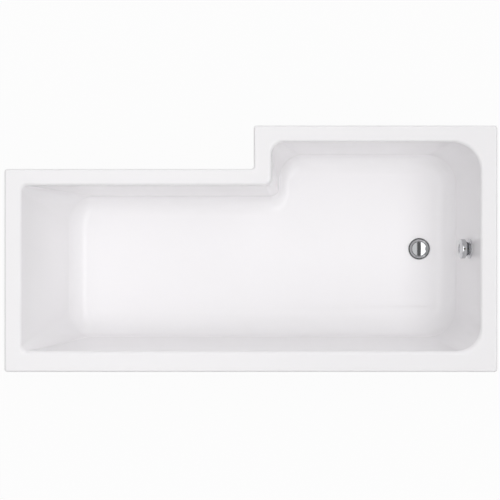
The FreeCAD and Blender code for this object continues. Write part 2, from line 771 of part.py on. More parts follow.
for name, x, y_front in BARS:
    bar = new_body(name)
    half_span = (y_front - y_foot_back) / 2
    put(bar, x, (y_foot_back + y_front) / 2, z_board)
    half = d.bar_wide / 2
    inside = half - d.bar_wall
    channel = new_sketch(bar, "XZ_Plane")
    polygon(channel, [(-half, -d.bar_high), (-inside, -d.bar_high), (-inside, -d.bar_wall),
                      (inside, -d.bar_wall), (inside, -d.bar_high), (half, -d.bar_high),
                      (half, 0), (-half, 0)])
    pad(bar, channel, half_span * 2 + d.bar_overhang * 2, middle=True)
    bar_holes = new_sketch(bar, "XY_Plane")
    for end in (-half_span, half_span):
        circle(bar_holes, 0, end, d.stud_radius + d.screw_gap)
    for dx in (-d.cradle_screw_side, d.cradle_screw_side):
        for dy in (-d.cradle_screw_spread, d.cradle_screw_spread):
            circle(bar_holes, dx, dy, pilot)
    pocket(bar, bar_holes, d.bar_wall * 2)

cradle_screws = []
for index, (x, y) in enumerate(cradle_screw_spots, start=1):
    one = screw("cradle_screw_%d" % index, d.screw_head, d.screw_head_high,
                d.screw_radius, d.cradle_screw_long)
    put(one, x, y, z_board - d.bar_wall)
    cradle_screws.append(one)
group("cradle_screws", cradle_screws)

# Six feet: a plastic pad on a threaded stud, with a lock nut above and below its bar

lock_nuts = []
for index, (x, y) in enumerate(foot_spots, start=1):
    foot = new_body("foot_pad_%d" % index)
    put(foot, x, y, 0)
    stud_hole = d.stud_radius + d.screw_gap
    revolve(foot, [(0, 0), (d.foot_radius, 0), (d.foot_radius, d.foot_edge),
                   (d.foot_boss_radius, d.foot_base), (d.foot_boss_radius, d.foot_boss_high),
                   (stud_hole, d.foot_boss_high), (stud_hole, d.foot_floor), (0, d.foot_floor)])
    stud = cylinder("foot_stud_%d" % index, d.stud_radius, z_board + d.stud_above - d.foot_floor)
    stud.Label = "foot_stud_%d" % index
    put(stud, x, y, d.foot_floor)
    pieces.append(stud)
    for place, z in (("upper", z_board), ("lower", z_board - d.bar_wall - d.nut_high)):
        nut = hexagon_nut("%s_nut_%d" % (place, index), d.nut_across, d.nut_high, stud_hole)
        put(nut, x, y, z)
        lock_nuts.append(nut)
group("lock_nuts", lock_nuts)

# The waste: a chrome flange screwed through the bath floor into a plastic body below

z_seat = z_floor + d.washer_thick
z_waste_top = z_seat + d.flange_thick
z_ledge = z_waste_top - d.recess_depth
z_tail = z_under - d.tail_drop
z_socket = z_under - d.gasket_thick
z_chamber = z_socket - d.body_drop
z_body_low = z_chamber - d.body_wall
z_spigot = z_tail - d.spigot_drop
bowl_radius = d.recess_radius + d.bowl_wall
flange_round = d.flange_thick - d.flange_edge
chamber = d.tail_radius + d.screw_gap
body_radius = chamber + d.body_wall

flange = new_body("waste_flange")
put(flange, x_waste, 0, 0)
revolve(flange, [(d.tail_bore, z_tail), (d.tail_radius, z_tail),
                 (d.tail_radius, z_ledge - d.bowl_wall), (bowl_radius, z_ledge - d.bowl_wall),
                 (bowl_radius, z_seat), (d.waste_flange_radius, z_seat),
                 (d.waste_flange_radius, z_seat + d.flange_edge),
                 (d.waste_flange_radius - flange_round, z_waste_top),
                 (d.dish_radius, z_waste_top),
                 (d.recess_radius, z_waste_top - d.dish_depth),
                 (d.recess_radius, z_ledge), (d.tail_bore, z_ledge)], {6: flange_round})

washer = tube("waste_washer", "XY_Plane", z_floor, (0, 0), waste_hole,
              d.waste_flange_radius - d.flange_edge, d.washer_thick)
put(washer, x_waste, 0, 0)
gasket = tube("waste_gasket", "XY_Plane", z_socket, (0, 0), waste_hole,
              d.body_flange_radius, d.gasket_thick)
put(gasket, x_waste, 0, 0)

# The plug hangs on a stem that a cranked lever lifts from below

z_cap = z_ledge + d.seat_gap + d.seal_thick
z_cap_edge = z_cap + d.plug_edge
z_stem = z_tail - d.stem_drop
z_pivot = z_stem - d.lever_gap - d.lever_nose + d.plug_lift / 2
y_pivot = d.lever_arm
half_swing = arc_sine(d.plug_lift / (d.lever_arm * 2))
z_cable = z_pivot - d.lever_crank * cosine(half_swing)

waste = new_body("waste_body")
put(waste, x_waste, 0, 0)
z_outlet = z_body_low - d.outlet_long
revolve(waste, [(0, z_outlet), (d.outlet_radius, z_outlet), (d.outlet_radius, z_body_low),
                (body_radius, z_body_low), (body_radius, z_socket - d.body_flange),
                (d.body_flange_radius, z_socket - d.body_flange),
                (d.body_flange_radius, z_socket), (0, z_socket)])
hose_spigot = new_sketch(waste, "YZ_Plane")
circle(hose_spigot, 0, z_spigot, d.spigot_radius)
pad(waste, hose_spigot, d.spigot_reach)
cable_port = new_sketch(waste, "XZ_Plane")
circle(cable_port, 0, z_cable, d.port_radius)
pad(waste, cable_port, d.port_reach, reverse=True)
chamber_cut = new_sketch(waste, "XY_Plane", z_socket)
circle(chamber_cut, 0, 0, chamber)
pocket(waste, chamber_cut, d.body_drop)
outlet_cut = new_sketch(waste, "XY_Plane", z_socket)
circle(outlet_cut, 0, 0, d.outlet_bore)
pocket(waste, outlet_cut, z_socket - z_outlet + d.body_wall)
spigot_cut = new_sketch(waste, "YZ_Plane")
circle(spigot_cut, 0, z_spigot, d.spigot_bore)
pocket(waste, spigot_cut, d.spigot_reach, reverse=True)
port_cut = new_sketch(waste, "XZ_Plane")
circle(port_cut, 0, z_cable, d.cable_radius + d.cable_gap)
pocket(waste, port_cut, d.port_reach)
pin_cut = new_sketch(waste, "YZ_Plane")
circle(pin_cut, y_pivot, z_pivot, d.pin_radius + d.run_gap)
pocket(waste, pin_cut)

guide = new_body("stem_guide")
guide_radius = d.tail_bore - d.guide_gap
half_spoke = d.guide_spoke / 2
spoke_end = guide_radius - d.guide_ring / 2
put(guide, x_waste, 0, z_tail + d.guide_rise)
guide_ring = new_sketch(guide, "XY_Plane")
circle(guide_ring, 0, 0, guide_radius)
circle(guide_ring, 0, 0, guide_radius - d.guide_ring)
pad(guide, guide_ring, d.guide_high)
for half_x, half_y in ((spoke_end, half_spoke), (half_spoke, spoke_end)):
    spokes = new_sketch(guide, "XY_Plane")
    polygon(spokes, [(-half_x, -half_y), (half_x, -half_y), (half_x, half_y), (-half_x, half_y)])
    pad(guide, spokes, d.guide_high)
guide_hub = new_sketch(guide, "XY_Plane")
circle(guide_hub, 0, 0, d.guide_hub)
pad(guide, guide_hub, d.guide_high)
guide_hole = new_sketch(guide, "XY_Plane")
circle(guide_hole, 0, 0, d.stem_radius + d.guide_gap)
pocket(guide, guide_hole)

cap = new_body("plug_cap")
put(cap, x_waste, 0, 0)
stem_hole = d.stem_radius + d.guide_gap
crown_radius = (d.plug_radius * d.plug_radius + d.plug_crown * d.plug_crown) / (d.plug_crown * 2)
revolve(cap, [(stem_hole, z_cap - d.plug_boss_drop), (d.plug_boss, z_cap - d.plug_boss_drop),
              (d.plug_boss, z_cap), (d.plug_radius, z_cap), (d.plug_radius, z_cap_edge),
              (0, z_cap_edge + d.plug_crown), (0, z_cap_edge), (stem_hole, z_cap_edge)],
        {4: crown_radius})
round_off(cap, d.plug_edge_round, ring_of(d.plug_radius, z_cap_edge))

seal = tube("plug_seal", "XY_Plane", z_cap - d.seal_thick, (0, 0),
            d.plug_boss + d.seal_inset, d.plug_radius - d.seal_inset, d.seal_thick)
put(seal, x_waste, 0, 0)

stem = cylinder("plug_stem", d.stem_radius, z_cap_edge - z_stem)
stem.Label = "plug_stem"
put(stem, x_waste, 0, z_stem)
pieces.append(stem)

stem_nut = hexagon_nut("stem_nut", d.stem_nut_across, d.stem_nut_high, stem_hole)
stem_nut.Label = "stem_nut"
put(stem_nut, x_waste, 0, z_cap - d.plug_boss_drop - d.stem_nut_high)
pieces.append(stem_nut)

# The lever is drawn at mid travel, its arms level and upright, and turned down to rest
lever = new_body("lift_lever")
lever.AllowCompound = True
turn_about(lever, V(1, 0, 0), half_swing)
put(lever, x_waste, y_pivot, z_pivot)
half_bar = d.lever_bar / 2
ARMS = [
    [(-d.lever_arm, -half_bar), (0, -half_bar), (0, half_bar), (-d.lever_arm, half_bar)],
    [(-half_bar, -d.lever_crank), (half_bar, -d.lever_crank), (half_bar, 0), (-half_bar, 0)],
]
DISCS = [(0, 0, d.lever_boss), (-d.lever_arm, 0, d.lever_nose), (0, -d.lever_crank, d.lever_nose)]
for y, z, radius in DISCS:
    disc = new_sketch(lever, "YZ_Plane")
    circle(disc, y, z, radius)
    pad(lever, disc, d.lever_wide, middle=True)
for corners in ARMS:
    arm = new_sketch(lever, "YZ_Plane")
    polygon(arm, corners)
    pad(lever, arm, d.lever_wide, middle=True)
lever_hole = new_sketch(lever, "YZ_Plane")
circle(lever_hole, 0, 0, d.pin_radius + d.run_gap)
pocket(lever, lever_hole)

pin = new_body("lever_pin")
put(pin, x_waste, y_pivot, z_pivot)
pin_round = new_sketch(pin, "YZ_Plane")
circle(pin_round, 0, 0, d.pin_radius)
pad(pin, pin_round, d.pin_half * 2, middle=True)

# The overflow: rosette, knob and spindle inside the bath, a cup with spigots behind the wall

wall_across = d.shell_wall * cosine(tap_lean)
s_front = -(wall_across + d.gasket_thick)
s_back = s_front - d.cup_depth
s_flange = s_front - d.over_flange
s_cavity = s_back + d.cup_wall
s_boss = s_cavity + d.boss_high
s_drum = s_boss + d.drum_rise
s_spigot = s_flange - d.spigot_clear - d.spigot_radius
s_knob = d.rosette_high + d.knob_gap
s_knob_front = s_knob + d.knob_long
s_knob_inside = s_knob_front - d.knob_wall
cavity = d.cup_radius - d.cup_wall
spindle_hole = d.spindle_radius + d.run_gap
post_hole = d.over_screw + d.screw_gap
x_cable_port = -d.drum_radius
s_cable = s_drum + d.drum_wide / 2
POSTS = (-d.screw_circle, d.screw_circle)

rosette_mouth = d.rosette_front - d.rosette_lip
rosette = new_body("overflow_rosette")
on_tap_wall(rosette)
revolve(rosette, [(spindle_hole, 0), (d.rosette_radius, 0), (d.rosette_radius, d.rosette_edge),
                  (d.rosette_front, d.rosette_high), (rosette_mouth, d.rosette_high),
                  (rosette_mouth, d.rosette_floor), (d.rosette_hub, d.rosette_floor),
                  (d.rosette_hub, d.rosette_high), (spindle_hole, d.rosette_high)])
water_holes = new_sketch(rosette, "XY_Plane", d.rosette_high)
water_at = d.screw_circle / math.sqrt(2)
for x in (-water_at, water_at):
    for y in (-water_at, water_at):
        circle(water_holes, x, y, d.water_hole)
for y in POSTS:
    circle(water_holes, 0, y, post_hole)
pocket(rosette, water_holes, d.rosette_high)

over_gasket = tube("overflow_gasket", "XY_Plane", s_front, (0, 0), d.overflow_hole,
                   d.over_flange_radius, d.gasket_thick)
on_tap_wall(over_gasket)

cup = new_body("overflow_body")
on_tap_wall(cup)
revolve(cup, [(0, s_back), (d.cup_radius, s_back), (d.cup_radius, s_flange),
              (d.over_flange_radius, s_flange), (d.over_flange_radius, s_front), (0, s_front)])
cup_spigot = new_sketch(cup, "YZ_Plane")
circle(cup_spigot, 0, s_spigot, d.spigot_radius)
pad(cup, cup_spigot, d.over_reach, reverse=True)
cup_port = new_sketch(cup, "XZ_Plane")
circle(cup_port, x_cable_port, s_cable, d.port_radius)
pad(cup, cup_port, d.port_reach, reverse=True)
cavity_cut = new_sketch(cup, "XY_Plane", s_front)
circle(cavity_cut, 0, 0, cavity)
pocket(cup, cavity_cut, d.cup_depth - d.cup_wall)
cup_boss = new_sketch(cup, "XY_Plane", s_back)
circle(cup_boss, 0, 0, d.cup_boss)
pad(cup, cup_boss, d.cup_wall + d.boss_high)
posts = new_sketch(cup, "XY_Plane", s_back)
for y in POSTS:
    circle(posts, 0, y, d.screw_boss)
pad(cup, posts, d.cup_depth)
past_cavity = cavity - d.cup_wall
cup_spigot_cut = new_sketch(cup, "YZ_Plane", -past_cavity)
circle(cup_spigot_cut, 0, s_spigot, d.spigot_bore)
pocket(cup, cup_spigot_cut, d.over_reach)
cup_port_cut = new_sketch(cup, "XZ_Plane", -past_cavity)
circle(cup_port_cut, x_cable_port, s_cable, d.cable_radius + d.cable_gap)
pocket(cup, cup_port_cut, d.port_reach)
post_cut = new_sketch(cup, "XY_Plane", s_front)
for y in POSTS:
    circle(post_cut, 0, y, post_hole)
pocket(cup, post_cut, d.over_screw_bite + d.screw_gap)
bearing_cut = new_sketch(cup, "XY_Plane", s_boss)
circle(bearing_cut, 0, 0, spindle_hole)
pocket(cup, bearing_cut, d.boss_high)

over_screws = []
for index, y in enumerate(POSTS, start=1):
    one = screw("overflow_screw_%d" % index, d.over_screw_head, d.over_screw_head_high,
                d.over_screw, d.rosette_floor - s_front + d.over_screw_bite)
    one.Placement = FreeCAD.Placement(V(0, 0, 0), FreeCAD.Rotation(V(1, 0, 0), 180))
    put(one, 0, y, d.rosette_floor)
    over_screws.append(one)
on_tap_wall(group("overflow_screws", over_screws))

spindle = new_body("overflow_spindle")
on_tap_wall(spindle)
spindle_round = new_sketch(spindle, "XY_Plane", s_cavity + d.seat_gap)
circle(spindle_round, 0, 0, d.spindle_radius)
pad(spindle, spindle_round, s_knob_inside - d.seat_gap - s_cavity - d.seat_gap)

drum = new_body("cable_drum")
on_tap_wall(drum)
third = d.drum_wide / 3
revolve(drum, [(spindle_hole, s_drum), (d.drum_radius, s_drum), (d.drum_radius, s_drum + third),
               (d.drum_radius - d.drum_groove, s_drum + d.drum_wide / 2),
               (d.drum_radius, s_drum + third * 2), (d.drum_radius, s_drum + d.drum_wide),
               (spindle_hole, s_drum + d.drum_wide)])

knob = new_body("overflow_knob")
on_tap_wall(knob)
knob_inner = d.knob_radius - d.knob_wall
dome_radius = (d.knob_radius * d.knob_radius + d.knob_crown * d.knob_crown) / (d.knob_crown * 2)
revolve(knob, [(spindle_hole, s_knob + d.knob_gap), (d.knob_hub, s_knob + d.knob_gap),
               (d.knob_hub, s_knob_inside), (knob_inner, s_knob_inside),
               (knob_inner, s_knob + d.knob_taper), (d.knob_rear - d.knob_wall, s_knob),
               (d.knob_rear, s_knob), (d.knob_radius, s_knob + d.knob_taper),
               (d.knob_radius, s_knob_front), (0, s_knob_front + d.knob_crown), (0, s_knob_inside),
               (spindle_hole, s_knob_inside)], {8: dome_radius})
round_off(knob, d.knob_round, ring_of(d.knob_radius, s_knob_front))
s_grub = s_knob + d.grub_from_rear
grub_cut = new_sketch(knob, "YZ_Plane")
circle(grub_cut, 0, s_grub, d.grub_hole)
pocket(knob, grub_cut, d.knob_radius * 2, reverse=True)

grub = new_body("knob_grub_screw")
on_tap_wall(grub)
grub_round = new_sketch(grub, "YZ_Plane", d.spindle_radius + d.seat_gap)
circle(grub_round, 0, s_grub, d.grub_hole - d.screw_gap)
pad(grub, grub_round, d.knob_hub - d.spindle_radius)

# Hose clamps: a band with a screw box on each hose end

band_inner = d.hose_radius + d.hose_gap
band_outer = band_inner + d.clamp_wall


def hose_clamp(name, lift, height):
    body = tube(name, "YZ_Plane", lift, (0, height), band_inner, band_outer, d.clamp_long)
    box = new_sketch(body, "YZ_Plane", lift)
    low = height - d.clamp_box
    high = height + d.clamp_box
    inner = band_outer - d.clamp_wall / 2
    polygon(box, [(inner, low), (inner + d.clamp_box, low), (inner + d.clamp_box, high), (inner, high)])
    pad(body, box, d.clamp_long)
    return body


lower_clamp = hose_clamp("hose_clamp_lower", d.spigot_reach - d.clamp_inset - d.clamp_long, z_spigot)
put(lower_clamp, x_waste, 0, 0)
upper_clamp = hose_clamp("hose_clamp_upper", -d.over_reach + d.clamp_inset, s_spigot)
on_tap_wall(upper_clamp)

# The ribbed overflow hose: straight down the wall, one bend, straight into the waste

lean = math.radians(tap_lean.value)
up_wall = V(math.sin(lean), 0, math.cos(lean))
off_wall = V(-math.cos(lean), 0, math.sin(lean))
overflow_at = V(x_overflow.value, 0, z_overflow.value)
hose_top = (overflow_at - up_wall * (d.over_reach - d.hose_grip).value
            + off_wall * s_spigot.value)
hose_end = V((x_waste + d.spigot_reach - d.hose_grip).value, 0, z_spigot.value)
drop = (hose_top.z - hose_end.z) / up_wall.z
hose_corner = hose_top - up_wall * drop
level = V(-1, 0, 0)
hose_turn = math.pi / 2 - lean
bend = d.hose_bend.value
tangent = bend * math.tan(hose_turn / 2)
first_run = drop - tangent
arc_run = bend * hose_turn
last_run = (hose_end - hose_corner).Length - tangent
bend_start = hose_corner + up_wall * tangent
bend_centre = bend_start + off_wall * bend


def hose_station(run):
    # The point and the direction of the hose at a length along it.
    if run <= first_run:
        return hose_top - up_wall * run, up_wall * -1
    if run <= first_run + arc_run:
        angle = (run - first_run) / bend
        out = off_wall * -math.cos(angle) - up_wall * math.sin(angle)
        along = off_wall * math.sin(angle) - up_wall * math.cos(angle)
        return bend_centre + out * bend, along
    return hose_corner + level * (tangent + run - first_run - arc_run), level


def hose_circle(run, radius):
    point, along = hose_station(run)
    ring = Part.Circle(point, along, radius)
    ring.XAxis = V(0, 1, 0)
    return Part.Wire(ring.toShape())


hose_length = first_run + arc_run + last_run
rib_count = int(hose_length / d.hose_pitch.value)
rib = hose_length / rib_count
crest = d.hose_radius.value
root = d.hose_root.value
# Shares of one rib along the hose, and the radius there
RIB_PROFILE = ((0.0, root), (0.25, root), (0.4, crest), (0.85, crest))
hose_rings = []
for index in range(rib_count):
    for share, radius in RIB_PROFILE:
        hose_rings.append(hose_circle((index + share) * rib, radius))
hose_rings.append(hose_circle(hose_length, root))
hose_outside = Part.makeLoft(hose_rings, True, True)
bend_middle = hose_station(first_run + arc_run / 2)[0]
bend_finish = hose_station(first_run + arc_run)[0]
hose_axis = Part.Wire([Part.LineSegment(hose_top, bend_start).toShape(),
                       Part.Arc(bend_start, bend_middle, bend_finish).toShape(),
                       Part.LineSegment(bend_finish, hose_end).toShape()])
hose_mouth = hose_circle(0, (d.spigot_radius + d.hose_gap).value)
hose_bore = hose_axis.makePipeShell([hose_mouth], True, False)
hose = doc.addObject("Part::Feature", "overflow_hose")
hose.Label = "overflow_hose"
hose.Shape = hose_outside.cut(hose_bore)
pieces.append(hose)

# The control cable: out of the overflow, down beside the hose and under the bath to the waste

port_at = overflow_at + up_wall * x_cable_port.value + off_wall * s_cable.value
inside_port = (d.port_reach - d.cable_grip).value
stand = d.cable_stand.value
cable_corners = [
    V(port_at.x, inside_port, port_at.z),
    V(port_at.x, stand, port_at.z),
    V(port_at.x, stand, z_cable.value),
    V(x_waste.value, stand, z_cable.value),
    V(x_waste.value, inside_port, z_cable.value),
]
cable_bends = [d.cable_bend.value, d.cable_sweep.value, d.cable_bend.value]
cable_edges = []
reached = cable_corners[0]
for corner, following, radius in zip(cable_corners[1:], cable_corners[2:], cable_bends):
    arriving = (corner - reached).normalize()
    leaving = (following - corner).normalize()
    begin = corner - arriving * radius
    end = corner + leaving * radius
    middle = begin + leaving * radius + (arriving - leaving).normalize() * radius
    cable_edges.append(Part.LineSegment(reached, begin).toShape())
    cable_edges.append(Part.Arc(begin, middle, end).toShape())
    reached = end
cable_edges.append(Part.LineSegment(reached, cable_corners[-1]).toShape())
cable_end = Part.Circle(cable_corners[0], V(0, 1, 0), d.cable_radius.value)
cable = doc.addObject("Part::Feature", "control_cable")
cable.Label = "control_cable"
cable.Shape = Part.Wire(cable_edges).makePipeShell([Part.Wire(cable_end.toShape())], True, False)
pieces.append(cable)

# Every sub-part is checked and written to its own file

doc.recompute()
for thing in doc.Objects:
    if "Invalid" in thing.State or "Error" in thing.State:
        raise RuntimeError("%s did not compute: %s" % (thing.Label, thing.State))
os.makedirs("parts", exist_ok=True)
for piece in pieces:
    if piece.Shape.isNull() or not piece.Shape.isValid() or not piece.Shape.Solids:
        raise RuntimeError("%s has no valid solid" % piece.Label)
    piece.Shape.exportStep("parts/%s.step" % piece.Label)
    print(piece.Label, len(piece.Shape.Solids), round(piece.Shape.Volume))
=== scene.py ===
import bmesh
import bpy
import math
from mathutils import Matrix, Vector


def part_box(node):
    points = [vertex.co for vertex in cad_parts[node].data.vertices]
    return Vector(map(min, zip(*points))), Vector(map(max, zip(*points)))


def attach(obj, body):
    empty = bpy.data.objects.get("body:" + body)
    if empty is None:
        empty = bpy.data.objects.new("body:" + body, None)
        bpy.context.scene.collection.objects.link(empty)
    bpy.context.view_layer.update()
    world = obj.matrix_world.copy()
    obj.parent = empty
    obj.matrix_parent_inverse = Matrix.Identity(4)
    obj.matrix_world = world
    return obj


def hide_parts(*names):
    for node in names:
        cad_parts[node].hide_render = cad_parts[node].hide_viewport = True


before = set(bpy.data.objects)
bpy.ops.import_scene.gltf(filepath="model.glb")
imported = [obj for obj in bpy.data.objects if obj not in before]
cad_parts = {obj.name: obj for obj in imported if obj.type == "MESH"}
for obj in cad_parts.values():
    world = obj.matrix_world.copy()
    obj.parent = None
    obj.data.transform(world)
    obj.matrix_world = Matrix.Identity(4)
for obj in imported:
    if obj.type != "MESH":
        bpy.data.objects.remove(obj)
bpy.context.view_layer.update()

# The bath: one sheet of white acrylic, drawn by vacuum into rim, lip and basin, and stiffened
# behind with sprayed glass fibre. Its walls lean inwards, the head end most, as a backrest.
# The holes for the waste and the overflow are sawn after moulding.
WALL = 0.006
LIP_DEPTH = 0.036
SHOWER_LENGTH = 0.840
HEAD_WIDTH = 0.700
RIM_WIDTHS = {"head": 0.057, "tap": 0.057, "back": 0.071, "front": 0.056, "step": 0.060}
WALL_FALLS = {"head": 0.150, "tap": 0.060, "back": 0.045, "front": 0.034, "step": 0.034}
FLOOR_ROUNDS = {"head": 0.075, "tap": 0.070, "back": 0.095, "front": 0.072, "step": 0.042}
MOUTH_ROUNDS = {"head": 0.013, "tap": 0.013, "back": 0.022, "front": 0.013, "step": 0.013}
LIP_ROUND = 0.009
RIM_CORNERS = [0.010] * 6
MOUTH_CORNERS = [0.018, 0.080, 0.100, 0.042, 0.024, 0.018]
FLOOR_CORNERS = [0.110, 0.110, 0.110, 0.100, 0.030, 0.110]
CORNER_STEPS = 18
FLOOR_STEPS = 14
MOUTH_STEPS = 9
LIP_STEPS = 6
LARGEST_ROUND = 0.1
OUTER_BAND = 0.03
SQUARE = 0.9
NEAR = 0.0005
WASTE_HOLE = 0.032
OVERFLOW_HOLE = 0.025
OVERFLOW_BELOW = 0.150
SAW_LONG = 0.04
(x_head, y_back, z_under), (x_tap, y_shower, z_rim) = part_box("bath_shell")
z_floor = z_under + WALL
x_notch = x_tap - SHOWER_LENGTH
y_head = y_back + HEAD_WIDTH


def clear_selection():
    bpy.ops.object.select_all(action="DESELECT")


def choose(piece):
    """Selects one piece alone."""
    clear_selection()
    piece.select_set(True)
    bpy.context.view_layer.objects.active = piece


def size_to(piece, size=(1, 1, 1)):
    """Scales the piece that is selected, and puts its place and turn into its mesh."""
    piece.scale = size
    bpy.ops.object.transform_apply(location=True, rotation=True, scale=True)


def edit(piece):
    """Opens one piece alone for editing."""
    choose(piece)
    bpy.ops.object.mode_set(mode="EDIT")


def close():
    bpy.ops.object.mode_set(mode="OBJECT")


def pick(kind, wanted):
    """Selects the vertices, edges or faces of the open piece that pass a test."""
    mesh = bpy.context.edit_object.data
    bpy.ops.mesh.select_mode(type={"verts": "VERT", "edges": "EDGE", "faces": "FACE"}[kind])
    bpy.ops.mesh.select_all(action="DESELECT")
    opened = bmesh.from_edit_mesh(mesh)
    for item in getattr(opened, kind):
        if wanted(item):
            item.select_set(True)
    opened.select_flush_mode()
    bmesh.update_edit_mesh(mesh)


def middle(item):
    return sum((vert.co for vert in item.verts), Vector()) / len(item.verts)


def pull(x=0.0, y=0.0, z=0.0):
    """Extrudes what is selected."""
    bpy.ops.mesh.extrude_region_move(TRANSFORM_OT_translate={"value": (x, y, z)})


def bevel(offset, segments, affect="EDGES"):
    bpy.ops.mesh.bevel(offset=offset, segments=segments, affect=affect, profile=0.5)


def join(name, pieces):
    """Makes one piece of several."""
    clear_selection()
    for piece in pieces:
        piece.select_set(True)
    bpy.context.view_layer.objects.active = pieces[0]
    bpy.ops.object.join()
    pieces[0].name = name
    return pieces[0]


def apply_modifier(piece, kind, **settings):
    """Adds a modifier to a piece and applies it."""
    choose(piece)
    modifier = piece.modifiers.new(kind.title(), kind)
    for key, value in settings.items():
        setattr(modifier, key, value)
    bpy.ops.object.modifier_apply(modifier=modifier.name)


def smooth(piece, degrees=32):
    """Shades a piece smooth, with its real edges kept sharp and its flats kept flat."""
    choose(piece)
    bpy.ops.object.shade_smooth_by_angle(angle=math.radians(degrees))
    apply_modifier(piece, "WEIGHTED_NORMAL", keep_sharp=True)


def settle(piece, body, slot, *nodes):
    """Hangs a finished piece on its body, in place of its plain solids."""
    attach(piece, body)
    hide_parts(*nodes)


def basin_outline(share):
    """Sides of the L at a share of the way from the mouth of the basin to its floor."""
    inset = {side: RIM_WIDTHS[side] + WALL_FALLS[side] * share for side in RIM_WIDTHS}
    return (x_head + inset["head"], x_tap - inset["tap"], y_back + inset["back"],
            y_head - inset["front"], y_shower - inset["front"], x_notch + inset["step"])


def ell_sheet(outline, z, radii):
    """A flat L-shaped sheet with its six corners rounded."""
    x0, x1, y0, y1, y2, xn = outline
    clear_selection()
    bpy.ops.mesh.primitive_plane_add(size=1, location=((xn + x1) / 2, (y0 + y2) / 2, z))
    sheet = bpy.context.object
    size_to(sheet, (x1 - xn, y2 - y0, 1))
    edit(sheet)
    bpy.ops.mesh.select_all(action="SELECT")
    bpy.ops.mesh.bisect(plane_co=(0, y1, z), plane_no=(0, 1, 0))
    pick("edges", lambda edge: abs(middle(edge).x - xn) < NEAR and middle(edge).y < y1 - NEAR)
    pull(x=x0 - xn)
    bpy.ops.mesh.select_all(action="SELECT")
    bpy.ops.mesh.dissolve_limited(angle_limit=math.radians(1))
    corners = [(x0, y0), (x1, y0), (x1, y2), (xn, y2), (xn, y1), (x0, y1)]
    for (x, y), radius in zip(corners, radii):
        spot = Vector((x, y, z))
        pick("verts", lambda vert: (vert.co - spot).length < NEAR)
        bevel(radius, segments=CORNER_STEPS, affect="VERTICES")
    close()
    return sheet


def on_outline(point):
    """True near the outer edge of the rim."""
    edge = min(point.x - x_head, x_tap - point.x, point.y - y_back, y_shower - point.y)
    step = max(point.x - x_notch, y_head - point.y)
    return min(edge, step) < OUTER_BAND


def level_at(item, z):
    return all(abs(vert.co.z - z) < NEAR for vert in item.verts)


def is_wall(face):
    return abs(face.normal.z) < SQUARE


def meets_wall(edge):
    return any(is_wall(face) for face in edge.link_faces)


def is_foot(edge):
    return level_at(edge, z_floor) and meets_wall(edge)


def is_mouth(edge):
    return level_at(edge, z_rim) and meets_wall(edge) and not on_outline(middle(edge))


def is_lip(edge):
    return level_at(edge, z_rim) and meets_wall(edge) and on_outline(middle(edge))


def side_round(edge, rounds):
    """Radius at one edge of a wall, which goes over from one side of the basin to the next."""
    wall = next(filter(is_wall, edge.link_faces))
    facing_head = "head" if middle(edge).x < x_notch else "step"
    end = rounds["tap" if wall.normal.x < 0 else facing_head]
    side = rounds["back" if wall.normal.y > 0 else "front"]
    share = wall.normal.x ** 2 / (wall.normal.x ** 2 + wall.normal.y ** 2)
    return share * end + (1 - share) * side


def round_edges(piece, segments, wanted, radius_of):
    """Rounds the wanted edges, each by its own radius."""
    opened = bmesh.new()
    opened.from_mesh(piece.data)
    weights = opened.edges.layers.float.new("bevel_weight_edge")
    for edge in filter(wanted, opened.edges):
        edge[weights] = radius_of(edge) * math.tan(edge.calc_face_angle(0) / 2) / LARGEST_ROUND
    opened.to_mesh(piece.data)
    opened.free()
    apply_modifier(piece, "BEVEL", width=LARGEST_ROUND, segments=segments, limit_method="WEIGHT",
                   use_clamp_overlap=False)
    piece.data.attributes.remove(piece.data.attributes["bevel_weight_edge"])


def turn_outwards(z):
    """Turns the open sheet so that its faces at this height face up."""
    bpy.ops.mesh.select_all(action="SELECT")
    bpy.ops.mesh.normals_make_consistent(inside=False)
    pick("faces", lambda face: level_at(face, z))
    opened = bmesh.from_edit_mesh(bpy.context.edit_object.data)
    if any(face.select and face.normal.z < 0 for face in opened.faces):
        bpy.ops.mesh.select_all(action="SELECT")
        bpy.ops.mesh.flip_normals()


outer_edge = (x_head, x_tap, y_back, y_head, y_shower, x_notch)
rim_sheet = ell_sheet(outer_edge, z_rim, RIM_CORNERS)
mouth_sheet = ell_sheet(basin_outline(0), z_rim, MOUTH_CORNERS)
floor_sheet = ell_sheet(basin_outline(1), z_floor, FLOOR_CORNERS)
bath = join("bath", [rim_sheet, mouth_sheet, floor_sheet])

edit(bath)
pick("faces", lambda face: level_at(face, z_rim))
bpy.ops.mesh.delete(type="ONLY_FACE")
pick("edges", lambda edge: level_at(edge, z_rim))
bpy.ops.mesh.bridge_edge_loops()
pick("edges", lambda edge: len(edge.link_faces) == 1 and not on_outline(middle(edge)))
bpy.ops.mesh.bridge_edge_loops()
pick("edges", lambda edge: len(edge.link_faces) == 1)
pull(z=-LIP_DEPTH)
turn_outwards(z_floor)
close()
round_edges(bath, FLOOR_STEPS, is_foot, lambda edge: side_round(edge, FLOOR_ROUNDS))
round_edges(bath, MOUTH_STEPS, is_mouth, lambda edge: side_round(edge, MOUTH_ROUNDS))
round_edges(bath, LIP_STEPS, is_lip, lambda edge: LIP_ROUND)
# The first slot is the acrylic of the face, the second the glass fibre behind it
bath.data.materials.append(None)
bath.data.materials.append(None)
apply_modifier(bath, "SOLIDIFY", thickness=WALL, offset=-1, use_even_offset=True, material_offset=1)


def cut(piece, cutter):
    """Cuts one piece away from another."""
    apply_modifier(piece, "BOOLEAN", operation="DIFFERENCE", object=cutter, solver="EXACT")
    bpy.data.objects.remove(cutter)


